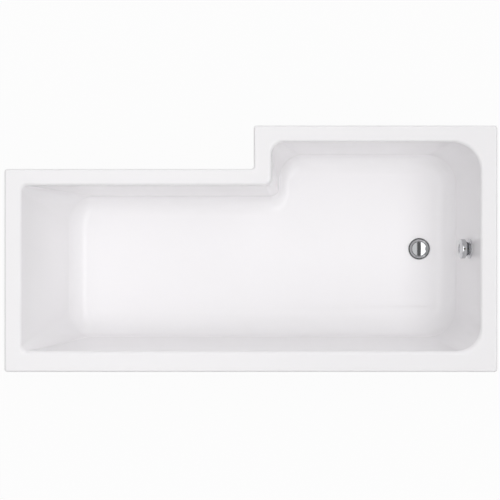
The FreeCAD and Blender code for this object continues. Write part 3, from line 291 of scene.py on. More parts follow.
def saw_hole(piece, centre, axis, radius, depth):
    """Saws a round hole through a piece."""
    clear_selection()
    bpy.ops.mesh.primitive_cylinder_add(vertices=96, radius=radius, depth=depth, location=centre)
    saw = bpy.context.object
    saw.rotation_mode = "QUATERNION"
    saw.rotation_quaternion = Vector(axis).to_track_quat("Z", "Y")
    bpy.context.view_layer.update()
    cut(piece, saw)


waste_low, waste_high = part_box("waste_flange")
waste_axis = (waste_low + waste_high) / 2
tap_lean = math.atan(WALL_FALLS["tap"] / (z_rim - z_floor))
off_wall = Vector((-math.cos(tap_lean), 0, math.sin(tap_lean)))
up_wall = Vector((math.sin(tap_lean), 0, math.cos(tap_lean)))
overflow_fall = WALL_FALLS["tap"] * OVERFLOW_BELOW / (z_rim - z_floor)
overflow_at = Vector((x_tap - RIM_WIDTHS["tap"] - overflow_fall, 0, z_rim - OVERFLOW_BELOW))
saw_hole(bath, (waste_axis.x, 0, z_floor), (0, 0, 1), WASTE_HOLE, SAW_LONG)
saw_hole(bath, overflow_at, off_wall, OVERFLOW_HOLE, SAW_LONG)
smooth(bath)


class Wire:
    """A node's socket, so that shader maths can be written as plain expressions."""

    def __init__(self, tree, socket=None):
        self.tree = tree
        self.socket = socket

    def node(self, kind, settings=None, sockets=None, output=0):
        """Adds a node: its settings first, then the values or links of its sockets."""
        made = self.tree.nodes.new(kind)
        for key, value in (settings or {}).items():
            if key == "stops":
                while len(made.color_ramp.elements) < len(value):
                    made.color_ramp.elements.new(1.0)
                for element, (place, colour) in zip(made.color_ramp.elements, value):
                    element.position = place
                    element.color = (*colour, 1.0)
            else:
                setattr(made, key, value)
        for key, value in (sockets or {}).items():
            if isinstance(value, Wire):
                self.tree.links.new(value.socket, made.inputs[key])
            else:
                made.inputs[key].default_value = value
        return Wire(self.tree, made.outputs[output])

    def maths(self, operation, first, second):
        return self.node("ShaderNodeMath", {"operation": operation}, {0: first, 1: second})

    def __add__(self, other):
        return self.maths("ADD", self, other)

    __radd__ = __add__

    def __sub__(self, other):
        return self.maths("SUBTRACT", self, other)

    def __rsub__(self, other):
        return self.maths("SUBTRACT", other, self)

    def __mul__(self, other):
        return self.maths("MULTIPLY", self, other)

    __rmul__ = __mul__

    def __truediv__(self, other):
        return self.maths("DIVIDE", self, other)

    def __gt__(self, other):
        return self.maths("GREATER_THAN", self, other)

    def stretched(self, scale, turn=(0, 0, 0)):
        """These coordinates turned and scaled, each axis by its own amount."""
        return self.node("ShaderNodeMapping", {}, {"Vector": self, "Scale": scale, "Rotation": turn})

    def noise(self, scale, detail=3.0, roughness=0.5, distortion=0.0):
        return self.node("ShaderNodeTexNoise", {}, {"Vector": self, "Scale": scale, "Detail": detail,
                         "Roughness": roughness, "Distortion": distortion}, "Fac")

    def ramp(self, *stops):
        """A colour from this value, through the given stops."""
        return self.node("ShaderNodeValToRGB", {"stops": stops}, {"Fac": self}, "Color")

    def eased(self, low, high):
        """Goes smoothly from 0 to 1 as this value goes from low to high."""
        return self.node("ShaderNodeMapRange", {"interpolation_type": "SMOOTHSTEP"},
                         {"Value": self, "From Min": low, "From Max": high})

    def mixed(self, first, second):
        """From the first colour to the second by this share."""
        return self.node("ShaderNodeMix", {"data_type": "RGBA"}, {0: self, 6: first, 7: second}, 2)

    def bump(self, distance, strength=1.0):
        return self.node("ShaderNodeBump", {}, {"Height": self, "Distance": distance,
                         "Strength": strength}, "Normal")


def start_material(name, **fixed):
    """A new material with its uniform values set, and its object coordinates."""
    material = bpy.data.materials.new(name)
    material.use_nodes = True
    shader = material.node_tree.nodes["Principled BSDF"]
    for key, value in fixed.items():
        shader.inputs[key.replace("_", " ")].default_value = value
    return material, Wire(material.node_tree).node("ShaderNodeTexCoord", {}, {}, "Object")


def feed(material, **wires):
    """Links wires to the shader's sockets."""
    shader = material.node_tree.nodes["Principled BSDF"]
    for key, wire in wires.items():
        material.node_tree.links.new(wire.socket, shader.inputs[key.replace("_", " ")])
    return material


def acrylic():
    """Glossy white acrylic: a trace of moulding ripple, and roughness that drifts from wiping."""
    material, place = start_material("acrylic", IOR=1.49)
    drift = place.noise(3.0, 2.0)
    haze = place.noise(55.0, 3.0)
    tint = drift.mixed((0.911, 0.899, 0.912, 1), (0.923, 0.911, 0.924, 1))
    ripple = place.noise(26.0, 1.0).bump(0.00006)
    return feed(material, Base_Color=tint, Roughness=0.13 + 0.05 * haze * drift, Normal=ripple)


def glass_fibre():
    """Sprayed glass fibre: chopped strands lying every way in a pale resin, with resin-rich patches."""
    material, place = start_material("glass_fibre", IOR=1.5)
    strands = 0.0
    for turn in ((0.3, 0.2, 0.1), (0.1, 0.5, 1.2), (0.5, 0.1, 2.2), (1.4, 0.3, 0.6)):
        strand = place.stretched((16, 260, 260), turn).noise(1.0, 2.0, 0.6).eased(0.54, 0.66)
        strands = strand + strands
    patches = place.noise(9.0, 4.0, 0.6)
    lumps = place.noise(60.0, 4.0)
    share = (strands * 0.45).eased(0.0, 1.0)
    resin = patches.mixed((0.72, 0.69, 0.61, 1), (0.84, 0.82, 0.77, 1))
    colour = share.mixed(resin, (0.91, 0.90, 0.88, 1))
    height = strands * 0.4 + lumps * 0.8 + patches
    return feed(material, Base_Color=colour, Roughness=0.55 - 0.2 * share, Normal=height.bump(0.0022))


bath.data.materials[0] = acrylic()
bath.data.materials[1] = glass_fibre()
settle(bath, "bath", "acrylic", "bath_shell")


# The baseboard: 18 mm chipboard, sawn to the shape of the floor and bonded under it with resin. The
# cradle is screwed to it. Its faces are sanded flakes pressed in glue.


def paint(material, *nodes):
    """Gives solids that keep their own shape a finish."""
    for name in nodes:
        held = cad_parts[name].data.materials
        held.clear()
        held.append(material)


def chipboard():
    """Pale and dark flakes of wood pressed together, with small pits between them."""
    material, place = start_material("chipboard", Roughness=0.82)
    flakes = place.node("ShaderNodeTexVoronoi", {}, {"Vector": place.stretched((1.0, 0.7, 1.6)),
                        "Scale": 240.0, "Randomness": 1.0}, "Color")
    shade = place.node("ShaderNodeSeparateColor", {}, {"Color": flakes}, "Red")
    dust = place.noise(900.0, 3.0)
    colour = (shade * 0.8 + dust * 0.25).ramp((0.0, (0.34, 0.22, 0.11)), (0.45, (0.52, 0.37, 0.20)),
                                              (1.0, (0.70, 0.54, 0.34)))
    return feed(material, Base_Color=colour, Normal=(shade + dust).bump(0.0004))


paint(chipboard(), "baseboard")

# The battens: planed softwood strips bonded under the rim, inside its lip, which stiffen the rim and
# take the bracket screws. Each is sawn along its grain and cut to length.


def softwood(name, grain):
    """Planed pine: growth lines and pores along the grain, darker in the late wood."""
    material, place = start_material(name)
    lines = place.stretched(grain).noise(1.0, 4.0, 0.6, 0.4)
    pores = place.stretched(tuple(8 * share for share in grain)).noise(1.0, 2.0)
    colour = (lines + 0.2 * pores).ramp((0.30, (0.44, 0.27, 0.12)), (0.52, (0.68, 0.49, 0.28)),
                                        (0.80, (0.79, 0.62, 0.40)))
    return feed(material, Base_Color=colour, Roughness=0.58 + 0.2 * pores,
                Normal=(lines + 0.6 * pores).bump(0.0005))


ALONG_X = (3.0, 160.0, 160.0)
ALONG_Y = (160.0, 3.0, 160.0)
paint(softwood("long_batten_pine", ALONG_X), "back_batten", "front_batten", "shower_batten")
paint(softwood("cross_batten_pine", ALONG_Y), "head_batten", "step_batten", "tap_batten")

# The wall brackets: 2 mm steel pressed into an angle, with a rounded bend and rounded corners, then
# zinc plated. The leg is screwed to the wall of the room and the foot to a batten.
BRACKET_WIDE = 0.052
BRACKET_LEG = 0.046
BRACKET_FOOT = 0.040
BRACKET_SHEET = 0.002
BRACKET_BEND = 0.0032
BRACKET_CORNER = 0.006
BRACKET_X = 0.450
HALF_PITCH = 0.013
WALL_HOLE = 0.003
WALL_HOLE_DROP = 0.026
SCREW_HOLE = 0.0025
SCREW_IN = 0.020
SHEET_SAW = 0.01
SHARP = 0.5
z_lip = z_rim - LIP_DEPTH


def is_sharp(edge):
    return edge.calc_face_angle(0) > SHARP


def pressed_angle():
    """A bracket at the origin: its foot runs to +Y and its leg hangs down at Y 0."""
    clear_selection()
    bpy.ops.mesh.primitive_plane_add(size=1, location=(0, BRACKET_FOOT / 2, 0))
    angle = bpy.context.object
    size_to(angle, (BRACKET_WIDE, BRACKET_FOOT, 1))
    edit(angle)
    pick("edges", lambda edge: abs(middle(edge).y) < NEAR)
    pull(z=-BRACKET_LEG)
    turn_outwards(0)
    pick("verts", lambda vert: vert.co.y > BRACKET_FOOT - NEAR or vert.co.z < NEAR - BRACKET_LEG)
    bevel(BRACKET_CORNER, segments=6, affect="VERTICES")
    pick("edges", lambda edge: abs(middle(edge).y) < NEAR and is_sharp(edge))
    bevel(BRACKET_BEND, segments=5)
    close()
    apply_modifier(angle, "SOLIDIFY", thickness=BRACKET_SHEET, offset=-1, use_even_offset=True)
    for side in (-HALF_PITCH, HALF_PITCH):
        saw_hole(angle, (side, 0, -WALL_HOLE_DROP), (0, 1, 0), WALL_HOLE, SHEET_SAW)
        saw_hole(angle, (side, SCREW_IN, 0), (0, 0, 1), SCREW_HOLE, SHEET_SAW)
    return angle


def zinc_steel():
    """Bright zinc plate: soft spangles, fine drawing lines and a little white bloom."""
    material, place = start_material("zinc_steel", Metallic=1.0)
    spangle = place.node("ShaderNodeTexVoronoi", {}, {"Vector": place, "Scale": 170.0}, "Color")
    shade = place.node("ShaderNodeSeparateColor", {}, {"Color": spangle}, "Green")
    lines = place.stretched((90, 1400, 1400)).noise(1.0, 2.0)
    bloom = place.noise(45.0, 4.0).eased(0.52, 0.72)
    colour = (0.6 * bloom + 0.4 * shade).mixed((0.42, 0.43, 0.46, 1), (0.60, 0.61, 0.62, 1))
    return feed(material, Base_Color=colour, Roughness=0.30 + 0.12 * shade + 0.16 * bloom,
                Normal=lines.bump(0.00008))


zinc = zinc_steel()
tap_low, tap_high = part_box("tap_bracket")
y_tap_bracket = (tap_low.y + tap_high.y) / 2
for node, spot, turn in (
        ("back_bracket_1", (-BRACKET_X, y_back, z_lip), 0),
        ("back_bracket_2", (BRACKET_X, y_back, z_lip), 0),
        ("head_bracket", (x_head, (y_back + y_head) / 2, z_lip), -90),
        ("tap_bracket", (x_tap, y_tap_bracket, z_lip), 90)):
    bracket = pressed_angle()
    bracket.name = node + "_pressed"
    bracket.rotation_euler = (0, 0, math.radians(turn))
    bracket.location = spot
    size_to(bracket)
    smooth(bracket)
    bracket.data.materials.append(zinc)
    settle(bracket, "bath", "zinc_steel", node)

# The screws: zinc plated wood screws with a pan head and a cross recess. Two hold each bracket to its
# batten, and four hold each bar of the cradle to the baseboard.
SCREW_HEAD = 0.0044
SCREW_HEAD_HIGH = 0.0026
SCREW_SHANK = 0.0022
RECESS_LONG = 0.0046
RECESS_WIDE = 0.0011
RECESS_DEEP = 0.0014
HEAD_ROUND_SHARE = 0.6
TIP_SHARE = 0.25
TIP_WIDTH = 0.08
BRACKET_SCREW_LONG = 0.020


def cross_recess(piece, z):
    """Two crossed slots in a face that looks down at this height."""
    for turn in (0, 90):
        clear_selection()
        bpy.ops.mesh.primitive_cube_add(size=1, location=(0, 0, z), rotation=(0, 0, math.radians(turn)))
        blade = bpy.context.object
        size_to(blade, (RECESS_LONG, RECESS_WIDE, 2 * RECESS_DEEP))
        cut(piece, blade)


def pan_screw(length):
    """A screw at the origin, driven upwards, with the underside of its head at Z 0."""
    clear_selection()
    bpy.ops.mesh.primitive_cylinder_add(vertices=32, radius=SCREW_HEAD, depth=SCREW_HEAD_HIGH,
                                        location=(0, 0, -SCREW_HEAD_HIGH / 2))
    screw = bpy.context.object
    size_to(screw)
    edit(screw)
    pick("edges", lambda edge: level_at(edge, -SCREW_HEAD_HIGH))
    bevel(SCREW_HEAD_HIGH * HEAD_ROUND_SHARE, segments=5)
    pick("faces", lambda face: face.normal.z > SQUARE)
    bpy.ops.mesh.inset(thickness=SCREW_HEAD - SCREW_SHANK)
    pull(z=length * (1 - TIP_SHARE))
    pull(z=length * TIP_SHARE)
    bpy.ops.transform.resize(value=(TIP_WIDTH, TIP_WIDTH, 1), center_override=(0, 0, length))
    close()
    cross_recess(screw, -SCREW_HEAD_HIGH)
    return screw


def copies(piece, spots):
    """Puts a copy of a piece modelled at the origin at each spot."""
    made = []
    for spot in spots:
        choose(piece)
        bpy.ops.object.duplicate(linked=False)
        copy = bpy.context.object
        copy.location = spot
        size_to(copy)
        made.append(copy)
    bpy.data.objects.remove(piece)
    return made


sides = (-HALF_PITCH, HALF_PITCH)
bracket_plan = [(end + side, y_back + SCREW_IN) for end in (-BRACKET_X, BRACKET_X) for side in sides]
bracket_plan += [(x_head + SCREW_IN, (y_back + y_head) / 2 + side) for side in sides]
bracket_plan += [(x_tap - SCREW_IN, y_tap_bracket + side) for side in sides]
bracket_spots = [(x, y, z_lip - BRACKET_SHEET) for x, y in bracket_plan]
bracket_screws = join("bracket_pan_screws", copies(pan_screw(BRACKET_SCREW_LONG), bracket_spots))
smooth(bracket_screws)
bracket_screws.data.materials.append(zinc)
settle(bracket_screws, "bath", "zinc_steel", "bracket_screws")

# The cradle bars: 2.5 mm steel folded into channels, zinc plated and drilled for the studs of the feet
# and for the screws. They lie across the bath under the baseboard.
BAR_SHEET = 0.0025
BAR_BEND = 0.0045
STUD_HOLE = 0.0054
FOOT_INSET = 0.025
BAR_SCREW_X = 0.009
BAR_SCREW_Y = 0.120
BAR_SAW = 0.012
CRADLE_SCREW_LONG = 0.015


def folded_channel(node, stud_plan, screw_plan):
    """A channel where the node is, open below, with its holes."""
    low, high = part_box(node)
    clear_selection()
    bpy.ops.mesh.primitive_plane_add(size=1, location=((low.x + high.x) / 2, (low.y + high.y) / 2, high.z))
    channel = bpy.context.object
    size_to(channel, (high.x - low.x, high.y - low.y, 1))
    edit(channel)
    pick("edges", lambda edge: min(middle(edge).x - low.x, high.x - middle(edge).x) < NEAR)
    pull(z=low.z - high.z)
    turn_outwards(high.z)
    pick("edges", lambda edge: level_at(edge, high.z) and is_sharp(edge))
    bevel(BAR_BEND, segments=6)
    close()
    apply_modifier(channel, "SOLIDIFY", thickness=BAR_SHEET, offset=-1, use_even_offset=True)
    for x, y in stud_plan:
        saw_hole(channel, (x, y, high.z), (0, 0, 1), STUD_HOLE, BAR_SAW)
    for x, y in screw_plan:
        saw_hole(channel, (x, y, high.z), (0, 0, 1), SCREW_HOLE, BAR_SAW)
    return channel


foot_plan = []
cradle_plan = []
for node in ("head_cradle_bar", "middle_cradle_bar", "tap_cradle_bar"):
    bar_low, bar_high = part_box(node)
    x_bar = (bar_low.x + bar_high.x) / 2
    y_bar = (bar_low.y + bar_high.y) / 2
    stud_plan = [(x_bar, bar_low.y + FOOT_INSET), (x_bar, bar_high.y - FOOT_INSET)]
    screw_plan = [(x_bar + dx, y_bar + dy) for dx in (-BAR_SCREW_X, BAR_SCREW_X)
                  for dy in (-BAR_SCREW_Y, BAR_SCREW_Y)]
    bar = folded_channel(node, stud_plan, screw_plan)
    bar.name = node + "_folded"
    smooth(bar)
    bar.data.materials.append(zinc)
    settle(bar, "bath", "zinc_steel", node)
    foot_plan += stud_plan
    cradle_plan += screw_plan

z_bar = bar_high.z
cradle_spots = [(x, y, z_bar - BAR_SHEET) for x, y in cradle_plan]
cradle_screws = join("cradle_pan_screws", copies(pan_screw(CRADLE_SCREW_LONG), cradle_spots))
smooth(cradle_screws)
cradle_screws.data.materials.append(zinc)
settle(cradle_screws, "bath", "zinc_steel", "cradle_screws")

# The feet: black moulded pads with a ribbed cone and a socket, on threaded steel studs. Turning a stud
# in its nuts sets the height of that corner, and the nuts then lock it to the bar.
PAD_RADIUS = 0.028
PAD_EDGE = 0.004
PAD_SHOULDER = 0.010
BOSS_RADIUS = 0.012
BOSS_TOP = 0.030
SOCKET_FLOOR = 0.012
PAD_RIBS = 8
PAD_ROUND = 0.0008
RIB_SIZE = (0.0155, 0.0018, 0.012)
RIB_MIDDLE = (0.019, 0, 0.0095)
RIB_SLOPE = 0.010
STUD_RADIUS = 0.005
THREAD_CORE = 0.0043
THREAD_SIZE = 0.0008
THREAD_PITCH = 0.0015
THREAD_STEPS = 14
STUD_CHAMFER = 0.0008
STUD_SHARP = 50
NUT_ACROSS = 0.017
NUT_HIGH = 0.008
NUT_CHAMFER = 0.0012
NUT_SHARP = 25


def turned(piece, angle):
    """Turns a piece about the upright through the origin."""
    choose(piece)
    piece.rotation_euler = (0, 0, angle)
    size_to(piece)
    return piece


def pad_rib():
    """One sloping rib of a pad, from its boss to its edge."""
    clear_selection()
    bpy.ops.mesh.primitive_cube_add(size=1, location=RIB_MIDDLE)
    rib = bpy.context.object
    size_to(rib, RIB_SIZE)
    edit(rib)
    pick("verts", lambda vert: vert.co.x > RIB_MIDDLE[0] and vert.co.z > RIB_MIDDLE[2])
    bpy.ops.transform.translate(value=(0, 0, -RIB_SLOPE))
    close()
    return rib


def foot_pad():
    """A pad at the origin, its underside at Z 0."""
    clear_selection()
    bpy.ops.mesh.primitive_cylinder_add(vertices=48, radius=PAD_RADIUS, depth=PAD_EDGE,
                                        location=(0, 0, PAD_EDGE / 2))
    disc = bpy.context.object
    size_to(disc)
    edit(disc)
    pick("faces", lambda face: face.normal.z > SQUARE)
    bpy.ops.mesh.inset(thickness=PAD_RADIUS - BOSS_RADIUS)
    bpy.ops.transform.translate(value=(0, 0, PAD_SHOULDER - PAD_EDGE))
    pull(z=BOSS_TOP - PAD_SHOULDER)
    bpy.ops.mesh.inset(thickness=BOSS_RADIUS - STUD_HOLE)
    pull(z=SOCKET_FLOOR - BOSS_TOP)
    rings = (0, PAD_EDGE, PAD_SHOULDER, BOSS_TOP)
    pick("edges", lambda edge: is_sharp(edge) and any(level_at(edge, ring) for ring in rings))
    bevel(PAD_ROUND, segments=3)
    close()
    ribs = [turned(pad_rib(), math.tau * index / PAD_RIBS) for index in range(PAD_RIBS)]
    return join("foot_pad", [disc] + ribs)


def threaded_stud(low, high):
    """A stud on the upright through the origin: a core with a cut thread round it."""
    clear_selection()
    bpy.ops.mesh.primitive_cylinder_add(vertices=24, radius=THREAD_CORE, depth=high - low,
                                        location=(0, 0, (low + high) / 2))
    core = bpy.context.object
    size_to(core)
    edit(core)
    pick("edges", lambda edge: level_at(edge, low) or level_at(edge, high))
    bevel(STUD_CHAMFER, segments=2)
    close()
    clear_selection()
    bpy.ops.mesh.primitive_circle_add(vertices=3, radius=THREAD_SIZE, rotation=(0, math.pi / 2, 0),
                                      location=(0, STUD_RADIUS - THREAD_SIZE, low + 2 * THREAD_PITCH))
    thread = bpy.context.object
    size_to(thread)
    turns = int((high - low) / THREAD_PITCH) - 3
    apply_modifier(thread, "SCREW", axis="Z", screw_offset=THREAD_PITCH, iterations=turns,
                   steps=THREAD_STEPS, render_steps=THREAD_STEPS)
    edit(thread)
    bpy.ops.mesh.select_all(action="SELECT")
    bpy.ops.mesh.fill_holes(sides=3)
    bpy.ops.mesh.select_all(action="SELECT")
    bpy.ops.mesh.normals_make_consistent(inside=False)
    close()
    return join("foot_stud", [core, thread])


def hexagon_nut():
    """A lock nut at the origin, its underside at Z 0, with its corners chamfered."""
    clear_selection()
    bpy.ops.mesh.primitive_cylinder_add(vertices=6, radius=NUT_ACROSS / 2 / math.cos(math.pi / 6),
                                        depth=NUT_HIGH, location=(0, 0, NUT_HIGH / 2))
    nut = bpy.context.object
    size_to(nut)
    edit(nut)
    pick("verts", lambda vert: True)
    bevel(NUT_CHAMFER, segments=3, affect="VERTICES")
    close()
    saw_hole(nut, (0, 0, NUT_HIGH / 2), (0, 0, 1), STUD_HOLE, NUT_HIGH * 2)
    return nut


def foot_plastic():
    """Black moulded plastic with a fine spark grain and scuffs."""
    material, place = start_material("foot_plastic")
    grain = place.noise(1500.0, 2.0)
    scuffs = place.noise(70.0, 5.0, 0.7).eased(0.55, 0.75)
    colour = scuffs.mixed((0.030, 0.030, 0.033, 1), (0.065, 0.064, 0.064, 1))
    return feed(material, Base_Color=colour, Roughness=0.45 + 0.2 * scuffs, Normal=grain.bump(0.0001))


stud_low, stud_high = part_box("foot_stud_1")
pads = copies(foot_pad(), [(x, y, 0) for x, y in foot_plan])
studs = copies(threaded_stud(stud_low.z, stud_high.z), [(x, y, 0) for x, y in foot_plan])
pad_black = foot_plastic()
for number, (pad, stud) in enumerate(zip(pads, studs), start=1):
    pad.name = f"ribbed_pad_{number}"
    smooth(pad)
    pad.data.materials.append(pad_black)
    settle(pad, f"foot_{number}", "foot_plastic", f"foot_pad_{number}")
    stud.name = f"threaded_stud_{number}"
    smooth(stud, STUD_SHARP)
    stud.data.materials.append(zinc)
    settle(stud, f"foot_{number}", "zinc_steel", f"foot_stud_{number}")

nut_levels = (z_bar, z_bar - BAR_SHEET - NUT_HIGH)
nut_spots = [(x, y, z) for x, y in foot_plan for z in nut_levels]
lock_nuts = join("lock_nut_set", copies(hexagon_nut(), nut_spots))
smooth(lock_nuts, NUT_SHARP)
lock_nuts.data.materials.append(zinc)
settle(lock_nuts, "bath", "zinc_steel", "lock_nuts")

# The waste: a turned and chromed brass flange pulled down on a rubber washer, with a gasket and a
# moulded white chamber below the floor. A spider in the chamber guides the stem of the plug.


def chrome():
    """Polished chrome plate with faint water spots and hair-fine wiping marks."""
    material, place = start_material("chrome", Base_Color=(0.58, 0.585, 0.60, 1), Metallic=1.0)
    spots = place.noise(420.0, 2.0).eased(0.62, 0.75)
    marks = place.stretched((900, 900, 60)).noise(1.0, 1.0)
    return feed(material, Roughness=0.045 + 0.05 * spots + 0.02 * marks)


def rubber():
    """Black moulded rubber with a dusty bloom."""
    material, place = start_material("rubber")
    bloom = place.noise(120.0, 4.0).eased(0.45, 0.75)
    colour = bloom.mixed((0.022, 0.022, 0.023, 1), (0.055, 0.054, 0.053, 1))
    return feed(material, Base_Color=colour, Roughness=0.62 + 0.2 * bloom,
                Normal=place.noise(1300.0, 2.0).bump(0.00012))


def white_plastic():
    """White moulded plastic: matt spark grain, with faint flow marks."""
    material, place = start_material("white_plastic")
    flow = place.noise(28.0, 3.0, 0.6, 0.8)
    grain = place.noise(1600.0, 2.0)
    colour = flow.mixed((0.74, 0.74, 0.71, 1), (0.82, 0.82, 0.79, 1))
    return feed(material, Base_Color=colour, Roughness=0.38 + 0.14 * flow, Normal=grain.bump(0.00008))


polished = chrome()
black_rubber = rubber()
moulded_white = white_plastic()
paint(polished, "waste_flange")
paint(black_rubber, "waste_washer", "waste_gasket")
paint(moulded_white, "waste_body", "stem_guide")

# The plug: a chromed cap on a rubber seal, on a turned brass stem with a nut that sets its height. The
# cranked lever under the stem lifts it, on a steel pin through the chamber.


def turned_brass():
    """Turned brass: tool marks round the bar and darker patches of tarnish."""
    material, place = start_material("brass", Metallic=1.0)
    marks = place.stretched((40, 40, 2600)).noise(1.0, 2.0)
    tarnish = place.noise(90.0, 4.0).eased(0.45, 0.75)
    colour = tarnish.mixed((0.72, 0.54, 0.24, 1), (0.46, 0.33, 0.15, 1))
    return feed(material, Base_Color=colour, Roughness=0.22 + 0.2 * tarnish, Normal=marks.bump(0.00006))


brass = turned_brass()
paint(polished, "plug_cap")
paint(black_rubber, "plug_seal")
paint(brass, "plug_stem")
paint(zinc, "stem_nut", "lever_pin")
paint(moulded_white, "lift_lever")

# The overflow: a chromed rosette with water holes, held by two screws to a moulded cup behind the wall,
# and a chromed knob that turns a brass spindle and the drum that the cable winds on. A blackened grub
# screw in the hub of the knob grips the spindle.


def blackened_steel():
    """Steel with a black oxide skin, worn a little towards bare metal."""
    material, place = start_material("black_steel", Metallic=1.0)
    worn = place.noise(300.0, 3.0).eased(0.55, 0.80)
    colour = worn.mixed((0.018, 0.018, 0.020, 1), (0.060, 0.060, 0.062, 1))
    return feed(material, Base_Color=colour, Roughness=0.50 - 0.12 * worn)


paint(polished, "overflow_rosette", "overflow_knob")
paint(black_rubber, "overflow_gasket")
paint(moulded_white, "overflow_body", "cable_drum")
paint(brass, "overflow_spindle")
paint(zinc, "overflow_screws")
paint(blackened_steel(), "knob_grub_screw")

# The hose clamps: slotted steel bands with a worm screw in a pressed housing, drawn tight on each end of
# the hose over its spigot.
BAND_INNER = 0.0163
BAND_OUTER = 0.0183
BAND_LONG = 0.012
BAND_STEPS = 72
SLOT_LONG = 0.007
SLOT_FRAME = 0.0003
SLOT_DEEP = 0.0007
SLOTTED_SHARE = 0.9
HOUSING = (0.009, 0.006, 0.011)
HOUSING_ROUND = 0.0018
HOUSING_X = 0.0015
HOUSING_SUNK = 0.001
WORM_HEAD = 0.0029
WORM_HEAD_LONG = 0.004
WORM_HEAD_X = -0.0042
WORM_HEAD_SUNK = 0.0008
WORM_CHAMFER = 0.0004
WORM_HOLLOW = 0.0008
UPPER_FROM = -0.058
UPPER_OUT = -0.02743


def is_slot(face):
    """True for every second outer face of the middle ring, away from the housing."""
    centre = middle(face)
    spot = round(math.atan2(centre.y, centre.x) / math.tau * BAND_STEPS - 0.5)
    outer = centre.xy.length > (BAND_INNER + BAND_OUTER) / 2
    level = abs(centre.z - BAND_LONG / 2) < SLOT_LONG / 2
    return outer and level and spot % 2 == 0 and centre.y < BAND_OUTER * SLOTTED_SHARE


def worm_clamp():
    """A clamp round the Z axis from Z 0 up, with its housing on the +Y side."""
    clear_selection()
    bpy.ops.mesh.primitive_cylinder_add(vertices=BAND_STEPS, radius=BAND_OUTER, depth=BAND_LONG,
                                        end_fill_type="NOTHING", location=(0, 0, BAND_LONG / 2))
    band = bpy.context.object
    size_to(band)
    apply_modifier(band, "SOLIDIFY", thickness=BAND_OUTER - BAND_INNER, offset=-1, use_even_offset=True)
    edit(band)
    for z in ((BAND_LONG - SLOT_LONG) / 2, (BAND_LONG + SLOT_LONG) / 2):
        bpy.ops.mesh.select_all(action="SELECT")
        bpy.ops.mesh.bisect(plane_co=(0, 0, z), plane_no=(0, 0, 1))
    pick("faces", is_slot)
    bpy.ops.mesh.inset(thickness=SLOT_FRAME, depth=-SLOT_DEEP, use_individual=True)
    close()
    clear_selection()
    y_worm = BAND_OUTER + HOUSING[1] / 2
    bpy.ops.mesh.primitive_cube_add(size=1, location=(HOUSING_X, y_worm - HOUSING_SUNK, BAND_LONG / 2))
    housing = bpy.context.object
    size_to(housing, HOUSING)
    edit(housing)
    pick("edges", lambda edge: middle(edge).y > y_worm and is_sharp(edge))
    bevel(HOUSING_ROUND, segments=4)
    close()
    clear_selection()
    bpy.ops.mesh.primitive_cylinder_add(vertices=6, radius=WORM_HEAD, depth=WORM_HEAD_LONG,
                                        rotation=(0, math.pi / 2, 0),
                                        location=(WORM_HEAD_X, y_worm - WORM_HEAD_SUNK, BAND_LONG / 2))
    head = bpy.context.object
    size_to(head)
    edit(head)
    pick("faces", lambda face: face.normal.x < -SQUARE)
    bevel(WORM_CHAMFER, segments=2)
    bpy.ops.mesh.inset(thickness=WORM_HOLLOW)
    pull(x=WORM_HOLLOW)
    close()
    return join("worm_clamp", [band, housing, head])


clamp_low, clamp_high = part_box("hose_clamp_lower")
z_hose = (clamp_low.z + clamp_high.z) / 2
upper_at = overflow_at + up_wall * UPPER_FROM + off_wall * UPPER_OUT
for node, spot, axis in (("hose_clamp_lower", Vector((clamp_low.x, 0, z_hose)), Vector((1, 0, 0))),
                         ("hose_clamp_upper", upper_at, up_wall)):
    clamp = worm_clamp()
    clamp.name = node + "_worm"
    clamp.rotation_mode = "QUATERNION"
    side = Vector((0, 1, 0))
    clamp.rotation_quaternion = Matrix((side.cross(axis), side, axis)).transposed().to_quaternion()
    clamp.location = spot
    size_to(clamp)
    smooth(clamp)
    clamp.data.materials.append(zinc)
    settle(clamp, "bath", "zinc_steel", node)

# The overflow hose: pale ribbed plastic, blown as one tube, pushed over both spigots. It runs straight
# down behind the tap end and bends into the waste chamber.
HOSE_TOP = (0.79140, 0, 0.35440)
HOSE_RUN = (0.77243, 0, 0.22793)
HOSE_CORNER = (0.75249, 0, 0.09500)
HOSE_END = (0.64800, 0, 0.09500)
HOSE_CREST = 0.0160
HOSE_ROOT = 0.0144
HOSE_BORE = 0.0133
HOSE_RIBS = 57
HOSE_SHARP = 60
RIB_STEPS = ((0.25, 1.0), (0.15, HOSE_CREST / HOSE_ROOT), (0.45, 1.0), (0.15, HOSE_ROOT / HOSE_CREST))


def soft_line(name, points):
    """A smooth line drawn by its control points."""
    curve = bpy.data.curves.new(name, "CURVE")
    curve.dimensions = "3D"
    curve.twist_mode = "MINIMUM"
    spline = curve.splines.new("NURBS")
    spline.points.add(len(points) - 1)
    for held, point in zip(spline.points, points):
        held.co = (*point, 1)
    spline.order_u = 3
    spline.use_endpoint_u = True
    spline.resolution_u = 32
    line = bpy.data.objects.new(name, curve)
    bpy.context.collection.objects.link(line)
    return line


def line_length(line):
    drawn = bpy.data.meshes.new_from_object(line)
    spots = [vert.co for vert in drawn.vertices]
    return sum((after - before).length for before, after in zip(spots, spots[1:]))


def hose_plastic():
    """Pale grey blown plastic, with random patches of dust."""
    material, place = start_material("hose_plastic")
    dust = place.noise(160.0, 4.0).eased(0.42, 0.75)
    colour = dust.mixed((0.66, 0.67, 0.67, 1), (0.55, 0.55, 0.54, 1))
    return feed(material, Base_Color=colour, Roughness=0.36 + 0.2 * dust,
                Normal=place.noise(1100.0, 2.0).bump(0.00008))


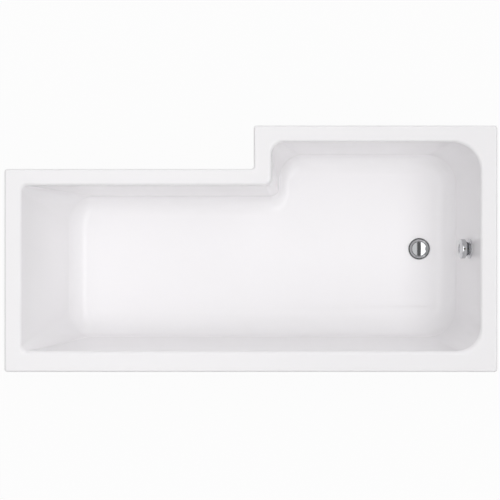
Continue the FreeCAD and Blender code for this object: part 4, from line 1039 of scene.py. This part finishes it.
hose_line = soft_line("hose_line", [HOSE_TOP, HOSE_RUN, HOSE_CORNER, HOSE_END])
rib_pitch = line_length(hose_line) / HOSE_RIBS
clear_selection()
bpy.ops.mesh.primitive_circle_add(vertices=40, radius=HOSE_ROOT, rotation=(0, math.pi / 2, 0))
hose = bpy.context.object
hose.name = "ribbed_hose"
size_to(hose)
edit(hose)
pick("edges", lambda edge: True)
reached = 0.0
for step, swell in RIB_STEPS:
    reached += step * rib_pitch
    pull(x=step * rib_pitch)
    bpy.ops.transform.resize(value=(1, swell, swell), center_override=(reached, 0, 0))
bpy.ops.mesh.select_all(action="SELECT")
bpy.ops.mesh.normals_make_consistent(inside=False)
close()
apply_modifier(hose, "ARRAY", count=HOSE_RIBS, use_relative_offset=False, use_constant_offset=True,
               constant_offset_displace=(rib_pitch, 0, 0), use_merge_vertices=True, merge_threshold=0.0001)
apply_modifier(hose, "CURVE", object=hose_line, deform_axis="POS_X")
apply_modifier(hose, "SOLIDIFY", thickness=HOSE_ROOT - HOSE_BORE, offset=-1, use_even_offset=True)
bpy.data.objects.remove(hose_line)
smooth(hose, HOSE_SHARP)
hose.data.materials.append(hose_plastic())
settle(hose, "bath", "hose_plastic", "overflow_hose")

# The control cable: a steel wire in a black sheath, with a crimped ferrule at each end. It comes out of
# the overflow cup, hangs behind the tap end and goes into the side of the waste chamber.
CABLE_RADIUS = 0.003
CABLE_POINTS = ((0.79939, 0.034, 0.38404), (0.79939, 0.110, 0.38404), (0.79939, 0.110, 0.23684),
                (0.79939, 0.110, 0.08965), (0.613, 0.110, 0.08965), (0.613, 0.034, 0.08965))
FERRULE_RADIUS = 0.0042
FERRULE_LONG = 0.014
CRIMPS = ((0.2, 0.35), (0.55, 0.7))
CRIMP_MARGIN = 0.02
CRIMPED = 0.88


def crimped_ferrule(start):
    """A ferrule along +Y from its start, with two crimped rings."""
    clear_selection()
    bpy.ops.mesh.primitive_cylinder_add(vertices=32, radius=FERRULE_RADIUS, depth=FERRULE_LONG,
                                        rotation=(math.pi / 2, 0, 0),
                                        location=(start[0], start[1] + FERRULE_LONG / 2, start[2]))
    ferrule = bpy.context.object
    size_to(ferrule)
    edit(ferrule)
    for share in sum(CRIMPS, ()):
        bpy.ops.mesh.select_all(action="SELECT")
        bpy.ops.mesh.bisect(plane_co=(0, start[1] + share * FERRULE_LONG, 0), plane_no=(0, 1, 0))
    for crimp in CRIMPS:
        low, high = (start[1] + share * FERRULE_LONG for share in crimp)
        margin = CRIMP_MARGIN * FERRULE_LONG
        pick("verts", lambda vert: low - margin < vert.co.y < high + margin)
        bpy.ops.transform.resize(value=(CRIMPED, 1, CRIMPED), center_override=start)
    close()
    return ferrule


def cable_plastic():
    """Black sheath: extruded, faintly glossy, dulled by handling."""
    material, place = start_material("cable_plastic")
    dull = place.noise(60.0, 4.0).eased(0.4, 0.7)
    colour = dull.mixed((0.020, 0.020, 0.022, 1), (0.048, 0.047, 0.047, 1))
    return feed(material, Base_Color=colour, Roughness=0.34 + 0.24 * dull,
                Normal=place.noise(700.0, 2.0).bump(0.0001))


cable = soft_line("sheathed_cable", CABLE_POINTS)
cable.data.bevel_depth = CABLE_RADIUS
cable.data.bevel_resolution = 5
cable.data.use_fill_caps = True
choose(cable)
bpy.ops.object.convert(target="MESH")
cable = bpy.context.object
ferrules = [crimped_ferrule(CABLE_POINTS[0]), crimped_ferrule(CABLE_POINTS[-1])]
cable = join("sheathed_cable", [cable] + ferrules)
smooth(cable)
cable.data.materials.append(cable_plastic())
settle(cable, "bath", "cable_plastic", "control_cable")

# The studio: a pale floor and a round backdrop that the camera and the chrome see white. The floor has
# painted shade: under the bath it glows less, so it is darker there under any light. Over the bath hang
# two bright panels with a dark gap between them, in a dim ring with a low window on the room side, and two
# soft lamps light the head end and the shower end.
FLOOR_SIZE = 60
FLOOR_DROP = 0.0005
# The painted shade on the floor: where it lies under the bath, and how much the floor glows in it and away
# from it.
SHADE_X = (0.60, 0.92)
SHADE_Y = (0.15, 0.38)
SHADE_BACK = 0.08
PAINTED_SHADE_GLOW = 0.40
GLOW_AWAY = 0.96
BACKDROP_RADIUS = 22
BACKDROP_HIGH = 9
BACKDROP_MIDDLE = 4.4
PANEL_HALF_X = (0.60, 0.66)
PANEL_HALF_Y = (0.98, 1.08)
GAP_LEFT = (-0.04, 0.01)
GAP_RIGHT = (0.15, 0.19)
RING_Z = (0.30, 0.50)
RING_LIGHT = 0.49
RING_LEAN = 0.16
WINDOW_Z = (0.30, 0.45)
WINDOW_Y = (0.20, 0.90)
LEFT_LIGHT = 0.90
GAP_LIGHT = 0.15
RIGHT_LIGHT = 2.20
WINDOW_LIGHT = 1.15
LOWEST = 0.05
LAMP_SIZE = 1.4
LAMPS = (("head_lamp", (-0.65, -0.15, 3.6), 13.2), ("shower_lamp", (0.40, 0.25, 3.6), 10.8))


def stage_finish(name, colour, glow_of):
    """A matt pale surface that the camera, mirrors and glass see nearly white."""
    material = bpy.data.materials.new(name)
    material.use_nodes = True
    tree = material.node_tree
    tree.nodes.clear()
    start = Wire(tree)
    place = start.node("ShaderNodeTexCoord", {}, {}, "Object")
    seen = sum(start.node("ShaderNodeLightPath", {}, {}, ray)
               for ray in ("Is Camera Ray", "Is Glossy Ray", "Is Transmission Ray"))
    matt = start.node("ShaderNodeBsdfDiffuse", {}, {"Color": colour})
    white = start.node("ShaderNodeEmission", {}, {"Color": (1, 1, 1, 1), "Strength": 1.0})
    both = start.node("ShaderNodeMixShader", {}, {0: seen * glow_of(place), 1: matt, 2: white})
    ending = tree.nodes.new("ShaderNodeOutputMaterial")
    tree.links.new(both.socket, ending.inputs["Surface"])
    return material


def floor_glow_with_painted_shade(place):
    """Painted shade: less glow under the bath, so the floor is darker there and its shadow stays."""
    x, y = (place.node("ShaderNodeSeparateXYZ", {}, {0: place}, axis) for axis in "XY")
    beside = x.maths("ABSOLUTE", x, 0).eased(*SHADE_X)
    before = y.maths("ABSOLUTE", y + SHADE_BACK, 0).eased(*SHADE_Y)
    return PAINTED_SHADE_GLOW + (GLOW_AWAY - PAINTED_SHADE_GLOW) * beside.maths("MAXIMUM", beside, before)


clear_selection()
bpy.ops.mesh.primitive_plane_add(size=FLOOR_SIZE, location=(0, 0, -FLOOR_DROP))
ground = bpy.context.object
ground.name = "floor"
# The floor's finish paints shade in a patch under the bath, where it glows less and is darker under any
# light.
ground.data.materials.append(stage_finish("pale_floor_painted_shade", (0.5, 0.5, 0.5, 1), floor_glow_with_painted_shade))

clear_selection()
bpy.ops.mesh.primitive_cylinder_add(vertices=96, radius=BACKDROP_RADIUS, depth=BACKDROP_HIGH,
                                    end_fill_type="NOTHING", location=(0, 0, BACKDROP_MIDDLE))
backdrop = bpy.context.object
backdrop.name = "backdrop"
backdrop.data.materials.append(stage_finish("pale_backdrop", (0.3, 0.3, 0.3, 1), lambda place: 1.0))
backdrop.visible_diffuse = False

world = bpy.data.worlds.new("studio")
bpy.context.scene.world = world
world.use_nodes = True
sky = Wire(world.node_tree)
direction = sky.node("ShaderNodeTexCoord", {}, {}, "Generated")
x, y, z = (sky.node("ShaderNodeSeparateXYZ", {}, {0: direction}, axis) for axis in "XYZ")
across = x / z.maths("MAXIMUM", z, LOWEST)
along = y / z.maths("MAXIMUM", z, LOWEST)
ring = z.eased(*RING_Z) * (RING_LIGHT - RING_LEAN * y)
low_window = (1 - z.eased(*WINDOW_Z)) * (z > 0.0) * y.eased(*WINDOW_Y) * WINDOW_LIGHT
left_panel = across.eased(*GAP_LEFT) * (GAP_LIGHT - LEFT_LIGHT) + LEFT_LIGHT
right_panel = across.eased(*GAP_RIGHT) * (RIGHT_LIGHT - GAP_LIGHT)
within_x = 1 - across.maths("ABSOLUTE", across, 0.0).eased(*PANEL_HALF_X)
within_y = 1 - along.maths("ABSOLUTE", along, 0.0).eased(*PANEL_HALF_Y)
overhead = within_x * within_y * (z > 0.0)
light = overhead * (left_panel + right_panel) + (1 - overhead) * ring + low_window
looked_at = sky.node("ShaderNodeLightPath", {}, {}, "Is Camera Ray")
light = looked_at + (1 - looked_at) * light
background = world.node_tree.nodes["Background"]
background.inputs["Color"].default_value = (1, 1, 1, 1)
world.node_tree.links.new(light.socket, background.inputs["Strength"])

for name, spot, watts in LAMPS:
    lamp_data = bpy.data.lights.new(name, "AREA")
    lamp_data.size = LAMP_SIZE
    lamp_data.energy = watts
    lamp = bpy.data.objects.new(name, lamp_data)
    lamp.location = spot
    lamp.rotation_mode = "QUATERNION"
    lamp.rotation_quaternion = Vector(spot).to_track_quat("Z", "Y")
    lamp.visible_camera = False
    lamp.visible_glossy = False
    bpy.context.collection.objects.link(lamp)

# The camera looks straight down on the rim through a long lens, from as far as the photograph was
# taken, and a few millimetres off the middle.
CAMERA_ABOVE_RIM = 7.0
CAMERA_X = -0.0031
CAMERA_Y = -0.0043
SEEN_WIDTH = 1.723
SENSOR_WIDTH = 36
camera_data = bpy.data.cameras.new("camera")
camera_data.sensor_width = SENSOR_WIDTH
camera_data.lens = SENSOR_WIDTH * CAMERA_ABOVE_RIM / SEEN_WIDTH
camera = bpy.data.objects.new("camera", camera_data)
camera.location = (CAMERA_X, CAMERA_Y, z_rim + CAMERA_ABOVE_RIM)
bpy.context.collection.objects.link(camera)
bpy.context.scene.camera = camera
bpy.context.scene.view_settings.view_transform = "Standard"
